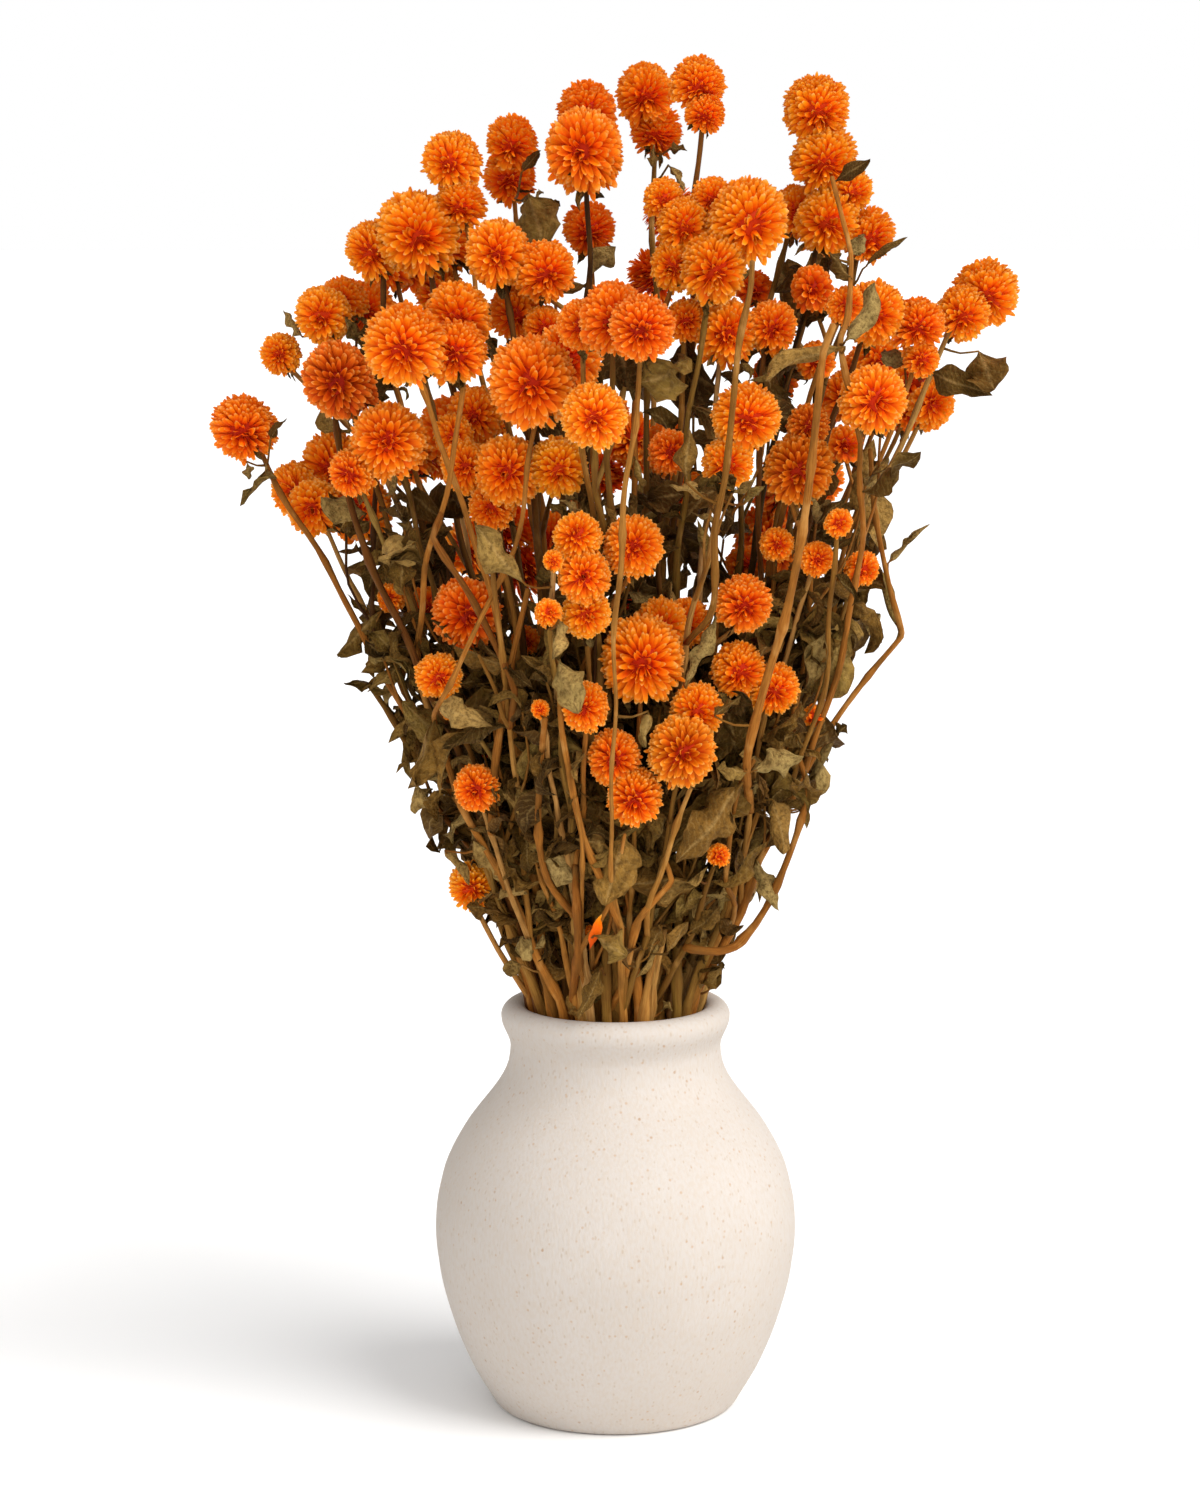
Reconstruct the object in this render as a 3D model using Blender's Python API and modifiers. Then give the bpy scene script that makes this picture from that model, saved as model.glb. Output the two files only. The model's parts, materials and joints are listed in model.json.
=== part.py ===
"""Vase of dried globe amaranth: a round stoneware vase that holds a loose, full bunch of dried stems.

The vase is one turned solid. Each spray is a few leafy stems that start from one foot on the vase's
floor, pass the neck and fork below their flower heads. Each bloom node is one head, or a few that have
grown into each other, standing a hair clear of the stalks that carry it.
Units are metres, Z is up, the origin is the middle of the vase's flat foot and -Y is the front.
"""

import math
import random

import bmesh
import bpy
import numpy as np
from mathutils import Matrix, Vector

MM = 0.001
WELD = 0.00004
SEED = 11
NAME = "globe_amaranth_vase"

# The vase
VASE_HEIGHT = 0.1765
FOOT_RADIUS = 0.0505
FOOT_EDGE = 0.0015
BELLY_RADIUS = 0.0778
BELLY_HEIGHT = 0.077
NECK_RADIUS = 0.0452
NECK_HEIGHT = 0.1565
LIP_RADIUS = 0.0060
LIP_CENTRE = 0.0432
WALL = 0.0058
FLOOR_THICKNESS = 0.0080
VASE_STEPS = 26
LIP_DEGREES = range(165, -61, -45)
# The outer side from the neck down to the foot, then the inner side from the floor up to the neck:
# radius and height in metres
OUTER_SIDE = [(NECK_RADIUS, NECK_HEIGHT), (0.0489, 0.1435), (0.0560, 0.1335), (0.0640, 0.1230), (0.0712, 0.1100),
              (0.0762, 0.0940), (BELLY_RADIUS, BELLY_HEIGHT), (0.0763, 0.0600), (0.0722, 0.0430),
              (0.0650, 0.0235), (FOOT_RADIUS + FOOT_EDGE, FOOT_EDGE)]
INNER_SIDE = [(FOOT_RADIUS - WALL, FLOOR_THICKNESS), (0.0665, 0.0430), (BELLY_RADIUS - WALL, BELLY_HEIGHT),
              (0.0655, 0.1080), (0.0505, 0.1310), (NECK_RADIUS - WALL, NECK_HEIGHT)]

# The bunch is measured by eye from this point, in front of the vase
EYE = Vector((0.0, -1.50, 0.506))
DEPTH_SHARE = 0.80
# Half the bunch's width at each height, in millimetres: height, half width
OUTLINE = [(177, 30), (199, 45), (220, 64), (264, 90), (307, 108), (349, 114), (392, 135),
           (421, 147), (463, 146), (496, 116), (537, 96), (574, 60)]

# Heads that have grown into each other or stand alone, as seen from the eye, in millimetres where the
# line of sight meets the plane of the vase's axis: across, up, radius, and how far back the head stands,
# from 0 on the front of the bunch to 1 on its back
BUNCHES = {
    "left_crown": [(-68, 533, 12.5, 0.35), (-63, 515, 11, 0.3), (-84, 502, 17, 0.2), (-101, 496, 11.5, 0.3)],
    "left_peak": [(-43, 540, 11, 0.75), (-44, 526, 11, 0.8)],
    "middle_peak": [(-13, 537, 16, 0.4), (-12, 553, 12.5, 0.5)],
    "left_shoulder": [(-50, 495, 13.5, 0.25), (-29, 486, 13, 0.2)],
    "middle_small": [(-11, 505, 11, 0.6)],
    "left_rim": [(-122, 469, 12, 0.3), (-114, 475, 10.5, 0.6), (-104, 471, 12, 0.65)],
    "left_outer": [(-140, 453, 9, 0.6)],
    "left_dark": [(-116, 442, 15, 0.15)],
    "left_front": [(-88, 457, 17.5, 0), (-65, 454, 13.5, 0.02), (-66, 468, 14, 0.15)],
    "centre_left": [(-37, 442, 18.5, 0), (-20, 451, 14, 0.2), (-30, 464, 9, 0.3), (-41, 471, 11.5, 0.5)],
    "centre_red": [(11, 464, 14, 0), (-1, 468, 14.5, 0.05), (-14, 465, 10.5, 0.1)],
    "right_peak_low": [(12, 560, 12, 0.7), (17, 545, 11, 0.8)],
    "right_peak": [(34, 564, 11.5, 0.3), (37, 552, 8.5, 0.3)],
    "right_crown": [(86, 533, 14, 0.3), (83, 556, 14, 0.45), (88, 508, 13.5, 0.4), (99, 519, 9, 0.5),
                    (105, 502, 11.5, 0.5), (75, 512, 11, 0.6)],
    "centre_crown": [(55, 508, 17.5, 0.15), (41, 489, 14, 0.1), (29, 508, 11.5, 0.35), (40, 517, 9, 0.45),
                     (20, 517, 8.5, 0.45), (24, 488, 10, 0.12)],
    "centre_back": [(47, 462, 13.5, 0.3), (29, 467, 9, 0.4), (65, 464, 11, 0.35)],
    "right_shoulder": [(108, 470, 13, 0.1), (96, 473, 8, 0.05), (126, 466, 12, 0.15), (128, 450, 8, 0.4)],
    "right_tip": [(154, 478, 14.5, 0.4), (145, 470, 11.5, 0.4)],
    "right_lower": [(108, 434, 14.5, 0.05)],
    "far_left": [(-156, 422, 13.5, 0.3)],
    "left_cheek": [(-95, 417, 16, 0), (-111, 403, 10, 0.3)],
    "centre_low_left": [(-45, 404, 14.5, 0.05), (-24, 406, 12.5, 0), (-63, 406, 10.5, 0.2),
                        (-68, 419, 8.5, 0.4), (-59, 427, 11.5, 0.5), (-52, 389, 10, 0.35)],
    "centre_bright": [(-9, 427, 14, 0)],
    "column_left": [(-16, 376, 10.5, 0.05), (-13, 360, 11.5, 0), (-13, 344, 11, 0)],
    "left_shade": [(-63, 344, 14.5, 0.15)],
    "left_low": [(-75, 317, 10, 0)],
    "centre_low": [(-13, 304, 10, 0)],
    "centre_mid": [(7, 372, 13, 0.05)],
    "low_pair": [(-1, 283, 11.5, 0), (9, 265, 12, 0)],
    "low_right_pair": [(28, 285, 14.5, 0), (34, 303, 11.5, 0)],
    "right_mid_top": [(55, 427, 15, 0), (47, 407, 11, 0.15)],
    "centre_gap": [(23, 412, 9.5, 0.35)],
    "right_mid": [(77, 404, 14.5, 0.05), (81, 424, 9, 0.4)],
    "right_inner": [(54, 348, 12.5, 0.1)],
    "centre_great": [(12, 324, 18, 0), (19, 338, 11.5, 0.2), (30, 340, 10, 0.45)],
    "right_low_pair": [(52, 320, 11.5, 0.1), (67, 312, 11, 0.1)],
    "left_base": [(-59, 269, 10, 0)],
    "left_pale": [(-61, 227, 8.5, 0)],
}
# Small heads and buds that stay in the node of the spray that carries them
SMALL_HEADS = [(94, 382, 6, 0.1), (85, 367, 7.5, 0.15), (68, 373, 7.5, 0.25), (104, 363, 7.5, 0.2),
               (44, 240, 5, 0), (-53, 369, 4.5, 0), (-26, 366, 4.5, 0), (-32, 303, 4, 0),
               (-95, 350, 6, 0.3), (-70, 303, 5, 0.1), (-10, 207, 3.5, 0), (-38, 332, 6.5, 0.4),
               (-28, 344, 6, 0)]
# Heads round the back, where the bunch is filled in by rule
BACK_BUNCHES = 9
BACK_HEADS = 4
BACK_RADII = (9.5, 15.0)
BACK_HEIGHTS = (0.36, 0.50)
BACK_REACH = (0.86, 0.92)
BACK_SHELL = (0.6, 1.0)
BACK_BAND = (0.30, 0.52)
BACK_TRIES = 4000

# Heads. Distances between two centres are shares of the two radii together: TOUCH joins them as one,
# and CLOSEST and APART keep them from sinking into each other
VALLEY = 0.83
TOUCH = 0.76
BUD_TOUCH = 0.70
BUD_RADIUS = 0.0083
CLOSEST = 0.64
APART = 0.70
CLEAR = 0.0012
SINK = 0.5
DEPTH_STEP = 0.35
DEPTH_PULL = 0.02
LINK_PULL = 3
SIDE_STEP = 0.25
SIDEWAYS = 0.10
SIDEWAYS_MOST = 0.004
HOLD = 0.004
HEAD_ROUNDS = 1600
PULL_ROUNDS = 1120
LEAN_HEIGHT = 0.22
STALK_GAP = 0.0005
HEART = 0.2
GOLDEN_DEGREES = 137.5
# A head has six points on its ball, and one more for each of these radii that it passes
HEAD_POINTS = 6
HEAD_SIZES = (0.004, 0.0080, 0.0102, 0.0132, 0.0148, 0.0172)

# Stems: where some of them pass on the way up, across and up in millimetres as seen from the eye
WAYPOINTS = {
    ("far_left", 0): [(-71, 251), (-94, 307), (-106, 349), (-133, 396)],
    ("left_front", 1): [(-30, 207), (-42, 233), (-57, 258), (-73, 290), (-85, 315), (-82, 369), (-78, 406)],
    ("left_rim", 0): [(-80, 320), (-96, 381), (-118, 427)],
    ("centre_red", 0): [(-1, 350), (1, 381), (6, 418)],
    ("centre_crown", 0): [(39, 344), (45, 393), (51, 436)],
    ("right_crown", 0): [(56, 281), (68, 325), (80, 393), (86, 456)],
    ("right_tip", 0): [(91, 356), (110, 392), (127, 422)],
    ("right_lower", 0): [(58, 207), (79, 264), (95, 300), (122, 336), (116, 366), (107, 400)],
}
SPRAYS = 12
LEADER_SHARE = 0.45
TRUNK_RADIUS = 0.0032
STEM_RADIUS = 0.0024
STALK_RADIUS = 0.0012
FORK_SHARE = 0.75
STEM_STEP = 0.080
SPRAY_GAP = 0.0008
FEET_RADII = (0.031, 0.017)
FOOT_GAP = 0.0007
FORK_STEP = 0.016
FORK_TURN = 1.2
STRAIGHT_END = 0.012
NECK_SHARE = 0.84
NECK_RISE = 0.003
FAN_DEPTH = 0.10
SETTLE_ROUNDS = 260
EASE_ROUNDS = 180
EASE = 0.03
SPRAY_ROOM = 1.5
PUSH = 1.6
# A side branch leaves its stem this far below its head, and above this height
BRANCH_DROP = (0.10, 0.17)
BRANCH_LOWEST = 0.205
BRANCH_RISE_COST = 0.9

# Leaves: root and tip as seen from the eye, in millimetres across and up
LEAVES = [(54, 272, 28, 240), (-119, 326, -103, 343), (61, 448, 98, 461), (-29, 510, -28, 488),
          (157, 457, 156, 433), (-153, 412, -150, 394), (-124, 392, -99, 383), (95, 326, 80, 305),
          (132, 379, 110, 362), (66, 277, 78, 298), (17, 223, 40, 231), (-7, 242, -14, 222),
          (-62, 212, -46, 226), (-79, 290, -90, 262), (-47, 373, -38, 348), (100, 298, 94, 270)]
RANDOM_LEAVES = 38
LEAF_LENGTH = (0.024, 0.038)
LEAF_SHARE = 0.34
LEAF_SEGMENTS = 4
LEAF_RIB = 0.0016
LEAF_WAVE = 0.0016
WAVE_STEP = 2.6
LEAF_DROOP = 0.16
LEAF_FOLD = 0.45
LEAF_LONGEST = 1.15
# A leaf keeps this far from heads, from stems and from other leaves, and this far above the vase's mouth
LEAF_GAPS = (0.0012, 0.0022, 0.0045, 0.006)
LEAF_TRIES = 6000
LEAF_ROOT_RISE = 0.012
# Most leaves by rule start below a height drawn between these
LEAF_HEIGHTS = (0.26, 0.52)
LEAF_TURN = 1.4
LEAF_RISE = (-0.5, 1.0)
LEAF_TWIST = 1.2


def linear(value):
    """One sRGB channel from 0 to 255 as linear light."""
    value = value / 255
    return value / 12.92 if value <= 0.04045 else ((value + 0.055) / 1.055) ** 2.4


def material(name, colour, roughness):
    made = bpy.data.materials.new(name)
    made.use_nodes = True
    shader = made.node_tree.nodes["Principled BSDF"]
    shader.inputs["Base Color"].default_value = [linear(channel) for channel in colour] + [1.0]
    shader.inputs["Roughness"].default_value = roughness
    shader.inputs["Metallic"].default_value = 0.0
    return made


def clear_scene():
    for existing in list(bpy.data.objects):
        bpy.data.objects.remove(existing, do_unlink=True)


def collection(name):
    made = bpy.data.collections.new(name)
    bpy.context.scene.collection.children.link(made)
    return made


def half_width(height):
    """Half the bunch's width at a height, both in metres."""
    heights = [row[0] * MM for row in OUTLINE]
    widths = [row[1] * MM for row in OUTLINE]
    return float(np.interp(height, heights, widths))


def front_depth(across, height):
    """Y of the bunch's front face at a place."""
    width = half_width(height)
    share = min(abs(across) / width, 0.98)
    return -DEPTH_SHARE * width * math.sqrt(1 - share * share)


def seen(across, up, depth):
    """The point at this depth on the line from the eye through a place on the axis plane."""
    on_plane = Vector((across, 0.0, up))
    return EYE + (on_plane - EYE) * ((depth - EYE.y) / -EYE.y)


def vase_profile():
    """Radius and height down the outer side and up the inner one, from lip to floor."""
    lip_height = VASE_HEIGHT - LIP_RADIUS
    lip = []
    for degrees in LIP_DEGREES:
        angle = math.radians(degrees)
        lip.append((LIP_CENTRE + LIP_RADIUS * math.cos(angle), lip_height + LIP_RADIUS * math.sin(angle)))
    foot = [(FOOT_RADIUS, 0.0), (0.0, 0.0)]
    return lip + OUTER_SIDE + foot, [(0.0, FLOOR_THICKNESS)] + INNER_SIDE


def build_vase(home, finish):
    """A turned shell: one profile from the lip's inner edge round the outside, the foot and the inside."""
    outside, inside = vase_profile()
    profile = bpy.data.meshes.new("vase")
    shape = bmesh.new()
    ring = [shape.verts.new((radius, 0.0, height)) for radius, height in outside + inside]
    for first, second in zip(ring, ring[1:] + ring[:1]):
        if first.co.x > 0 or second.co.x > 0:
            shape.edges.new((first, second))
    shape.to_mesh(profile)
    shape.free()
    vase = bpy.data.objects.new("vase", profile)
    home.objects.link(vase)
    screw = vase.modifiers.new("turn", "SCREW")
    screw.steps = VASE_STEPS
    screw.render_steps = VASE_STEPS
    screw.use_merge_vertices = True
    screw.merge_threshold = WELD
    profile.materials.append(finish)
    return vase


class Head:
    """A flower head: its node, place, radius and the way its crown faces."""

    def __init__(self, node, centre, radius):
        self.node = node
        self.centre = centre
        self.radius = radius
        self.axis = Vector((centre.x, centre.y, LEAN_HEIGHT)).normalized()
        self.stalk = True
        self.small = node.startswith("small")

    def pole(self):
        """Where the stalk ends: under the head, or in its heart where both are one node."""
        return self.centre - self.axis * (HEART * self.radius if self.small else VALLEY * self.radius + STALK_GAP)


def nearest_links(places, members):
    """Pairs that join the members into one tree by their shortest gaps."""
    linked, links = [members[0]], []
    waiting = list(members[1:])
    while waiting:
        gap, near, far = min((np.linalg.norm(places[a] - places[b]), a, b) for a in linked for b in waiting)
        links.append((near, far))
        linked.append(far)
        waiting.remove(far)
    return links


def front_heads():
    """Every head that shows from the front, slid along its line of sight until none crosses another bunch."""
    rows, owners = [], []
    for name, heads in BUNCHES.items():
        rows += heads
        owners += [name] * len(heads)
    rows += SMALL_HEADS
    owners += ["small_%d" % index for index in range(len(SMALL_HEADS))]
    across, up, radius, back = (np.array(column, float) for column in zip(*rows))
    across, up, radius = across * MM, up * MM, radius * MM
    wanted = np.array([front_depth(x, z) * (1 - 2 * b) for x, z, b in zip(across, up, back)])
    wanted += radius * SINK
    measured = np.stack([across, up], axis=1)
    same = np.array([[a == b for b in owners] for a in owners])
    touching = np.zeros(same.shape, bool)
    for name in BUNCHES:
        members = [index for index, owner in enumerate(owners) if owner == name]
        for a, b in nearest_links(measured, members):
            touching[a, b] = touching[b, a] = True
    sums = radius[:, None] + radius[None, :]
    touch = np.where(np.minimum(radius[:, None], radius[None, :]) < BUD_RADIUS, BUD_TOUCH, TOUCH) * sums
    depth = wanted.copy()
    number = np.arange(len(rows))
    order = np.sign(wanted[:, None] - wanted[None, :] + 1e-6 * (number[:, None] - number[None, :]))
    for turn in range(HEAD_ROUNDS):
        grow = (depth - EYE.y) / -EYE.y
        places = np.stack([across * grow, EYE.z + (up - EYE.z) * grow], axis=1)
        between = places[:, None] - places[None, :]
        spread = np.maximum(np.linalg.norm(between, axis=2), 1e-6)
        apart = (depth[:, None] - depth[None, :]) * order
        least = np.where(same, CLOSEST * sums, sums + CLEAR)
        need = np.sqrt(np.maximum(least ** 2 - spread ** 2, 0))
        short = np.where(spread < least, np.maximum(need - apart, 0), 0)
        most = np.sqrt(np.maximum(touch ** 2 - spread ** 2, 0))
        loose = np.where(touching, np.maximum(np.abs(apart) - most, 0) * np.sign(apart), 0)
        active = np.maximum(((short > 1e-6) | (np.abs(loose) > 1e-6)).sum(axis=1), 1)
        shift = ((short - LINK_PULL * loose) * order).sum(axis=1) / active
        slide = np.where(touching, np.minimum(touch - spread, 0), 0)
        slide += SIDEWAYS * np.minimum(short, SIDEWAYS_MOST)
        sideways = (between / spread[..., None] * slide[..., None]).sum(axis=1)
        pull = DEPTH_PULL if turn < PULL_ROUNDS else 0.0
        depth += DEPTH_STEP * shift + pull * (wanted - depth)
        across += SIDE_STEP * sideways[:, 0] + HOLD * (measured[:, 0] - across)
        up += SIDE_STEP * sideways[:, 1] + HOLD * (measured[:, 1] - up)
    heads = []
    for index, owner in enumerate(owners):
        centre = seen(across[index], up[index], depth[index])
        heads.append(Head(owner, centre, radius[index] * (depth[index] - EYE.y) / -EYE.y))
    return heads


def back_heads(heads, draw):
    """Bunches on the far side of the bouquet, each a short chain of touching heads."""
    added = []

    def free(centre, radius, mates):
        for other in heads + added:
            if other not in mates and (other.centre - centre).length < other.radius + radius + CLEAR:
                return False
        return all((mate.centre - centre).length > APART * (mate.radius + radius) for mate in mates)

    for number in range(BACK_BUNCHES):
        name = "back_%02d" % (number + 1)
        chain = []
        for attempt in range(BACK_TRIES):
            if len(chain) == BACK_HEADS:
                break
            radius = draw.uniform(*BACK_RADII) * MM
            if not chain:
                angle = math.pi * (number + 0.5 + draw.uniform(-0.3, 0.3)) / BACK_BUNCHES
                height = draw.uniform(*BACK_HEIGHTS)
                width = half_width(height)
                centre = Vector((BACK_REACH[0] * width * math.cos(angle),
                                 BACK_REACH[1] * DEPTH_SHARE * width * math.sin(angle), height))
            else:
                last = draw.choice(chain)
                way = Vector((draw.gauss(0, 1), draw.gauss(0, 0.5), draw.gauss(0, 1))).normalized()
                centre = last.centre + way * (TOUCH - 0.02) * (last.radius + radius)
                width = half_width(centre.z)
                bulge = math.hypot(centre.x / width, centre.y / (DEPTH_SHARE * width))
                if not BACK_SHELL[0] < bulge < BACK_SHELL[1] or not BACK_BAND[0] < centre.z < BACK_BAND[1]:
                    continue
            if free(centre, radius, chain):
                head = Head(name, centre, radius)
                chain.append(head)
                added.append(head)
    return added


def mark_stalks(heads):
    """A head whose underside is sunk in its neighbour is carried by it and has no stalk."""
    for head in heads:
        for mate in heads:
            if mate is not head and mate.node == head.node:
                if (mate.centre - head.pole()).length < mate.radius + 2 * STALK_RADIUS:
                    head.stalk = False
    for node in {head.node for head in heads}:
        bunch = [head for head in heads if head.node == node]
        if not any(head.stalk for head in bunch):
            min(bunch, key=lambda head: head.pole().z).stalk = True


class Stem:
    """A stem's centre line with a radius at each point. A branch starts from a point of its parent."""

    def __init__(self, head, points, parent=None, fork=0, trunk=1):
        thick = FORK_SHARE * parent.radii[fork] if parent else STEM_RADIUS
        self.head = head
        self.points = np.array(points, float)
        self.radii = np.linspace(thick, min(thick, STALK_RADIUS), len(points))
        if trunk > 1:
            self.radii[:trunk] = TRUNK_RADIUS
        self.parent = parent
        self.fork = fork
        self.trunk = trunk
        self.spray = ""


def hermite(start, start_way, end, end_way, count):
    """Points of one smooth bend between two ends with set directions."""
    reach = np.linalg.norm(end - start)
    made = []
    for t in np.linspace(0, 1, count):
        made.append((2 * t ** 3 - 3 * t * t + 1) * start + (t ** 3 - 2 * t * t + t) * reach * start_way
                    + (3 * t * t - 2 * t ** 3) * end + (t ** 3 - t * t) * reach * end_way)
    return made


def leader_points(head, trunk):
    """Up the trunk, through the neck and on to the head."""
    width = half_width(head.centre.z)
    share = np.array([head.centre.x / width, head.centre.y / (DEPTH_SHARE * width)])
    share /= max(1.0, np.linalg.norm(share))
    opening = (LIP_CENTRE - LIP_RADIUS) * NECK_SHARE
    neck = np.array([share[0] * opening, share[1] * opening, VASE_HEIGHT + NECK_RISE])
    end = np.array(head.pole())
    route = WAYPOINTS.get((head.node, head.place), None)
    if route:
        above = [np.array(seen(x * MM, z * MM, front_depth(x * MM, z * MM))) for x, z in route]
        return trunk + [neck] + above + [end - STRAIGHT_END * np.array(head.axis), end]
    start_way = np.array([neck[0], neck[1], FAN_DEPTH])
    start_way /= np.linalg.norm(start_way)
    count = max(3, round(np.linalg.norm(end - neck) / STEM_STEP) + 1)
    below = end - STRAIGHT_END * np.array(head.axis)
    return trunk + hermite(neck, start_way, below, np.array(head.axis), count) + [end]


def leaders_from(foot, chosen):
    """A spray's main stems: one on the foot, and the others leaving it in turn inside the vase."""
    rungs = [foot + np.array([0.0, 0.0, 0.5 * FORK_STEP + FORK_STEP * index]) for index in range(len(chosen) - 1)]
    leaders = [Stem(chosen[0], leader_points(chosen[0], [foot] + rungs), trunk=len(chosen))]
    for index, head in enumerate(chosen[1:]):
        leaders.append(Stem(head, leader_points(head, [rungs[index]]), leaders[0], index + 1))
    return leaders


def branch_from(leaders, head, draw):
    """A side branch from the leader that passes nearest below the head."""
    end = np.array(head.pole())
    height = max(BRANCH_LOWEST, end[2] - draw.uniform(*BRANCH_DROP))
    best = None
    for leader in leaders:
        for index, point in enumerate(leader.points[:-1]):
            cost = math.hypot(*(point[:2] - end[:2])) + BRANCH_RISE_COST * abs(point[2] - height)
            if point[2] > VASE_HEIGHT and (best is None or cost < best[0]):
                best = (cost, leader, index)
    cost, leader, index = best
    start = leader.points[index].copy()
    way = leader.points[index + 1] - start
    way = way / np.linalg.norm(way) + FORK_TURN * (end - start) / np.linalg.norm(end - start)
    way /= np.linalg.norm(way)
    count = max(2, round(np.linalg.norm(end - start) / STEM_STEP) + 1)
    below = end - STRAIGHT_END * np.array(head.axis)
    points = hermite(start, way, below, np.array(head.axis), count) + [end]
    return Stem(head, points, leader, index)


def plan_stems(heads, draw):
    """Share the heads out among the sprays and give each head its stem or branch."""
    carried = [head for head in heads if head.stalk]

    def place_in_fan(head):
        width = half_width(head.centre.z)
        return head.centre.x / width, head.centre.y / (DEPTH_SHARE * width)

    carried.sort(key=lambda head: math.atan2(*reversed(place_in_fan(head))))
    stems = []
    for number, part in enumerate(np.array_split(np.arange(len(carried)), SPRAYS)):
        members = [carried[index] for index in part]
        middle = sum((Vector(place_in_fan(head)) for head in members), Vector((0, 0)))
        angle = math.atan2(middle.y, middle.x)
        reach = FEET_RADII[number % 2]
        foot = np.array([reach * math.cos(angle), reach * math.sin(angle), FLOOR_THICKNESS + FOOT_GAP])
        named = [head for head in members if (head.node, head.place) in WAYPOINTS]
        others = sorted((head for head in members if head not in named), key=lambda head: -head.centre.z)
        count = max(2, round(LEADER_SHARE * len(members)))
        chosen = named + others[:max(0, count - len(named))]
        leaders = leaders_from(foot, chosen)
        branches = [branch_from(leaders, head, draw) for head in members if head not in chosen]
        for stem in leaders + branches:
            stem.spray = "spray_%02d" % (number + 1)
            stems.append(stem)
    return stems


def closest_on_segments(p, q, r, s):
    """Parameters of the closest points of segments p-q and r-s, for whole arrays of them."""
    u, v, w = q - p, s - r, p - r
    a = (u * u).sum(-1)
    b = (u * v).sum(-1)
    c = (v * v).sum(-1)
    d = (u * w).sum(-1)
    e = (v * w).sum(-1)
    span = np.maximum(a * c - b * b, 1e-14)
    first = np.clip((b * e - c * d) / span, 0, 1)
    second = np.clip((b * first + e) / np.maximum(c, 1e-14), 0, 1)
    first = np.clip((b * second - d) / np.maximum(a, 1e-14), 0, 1)
    return first, second


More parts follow.
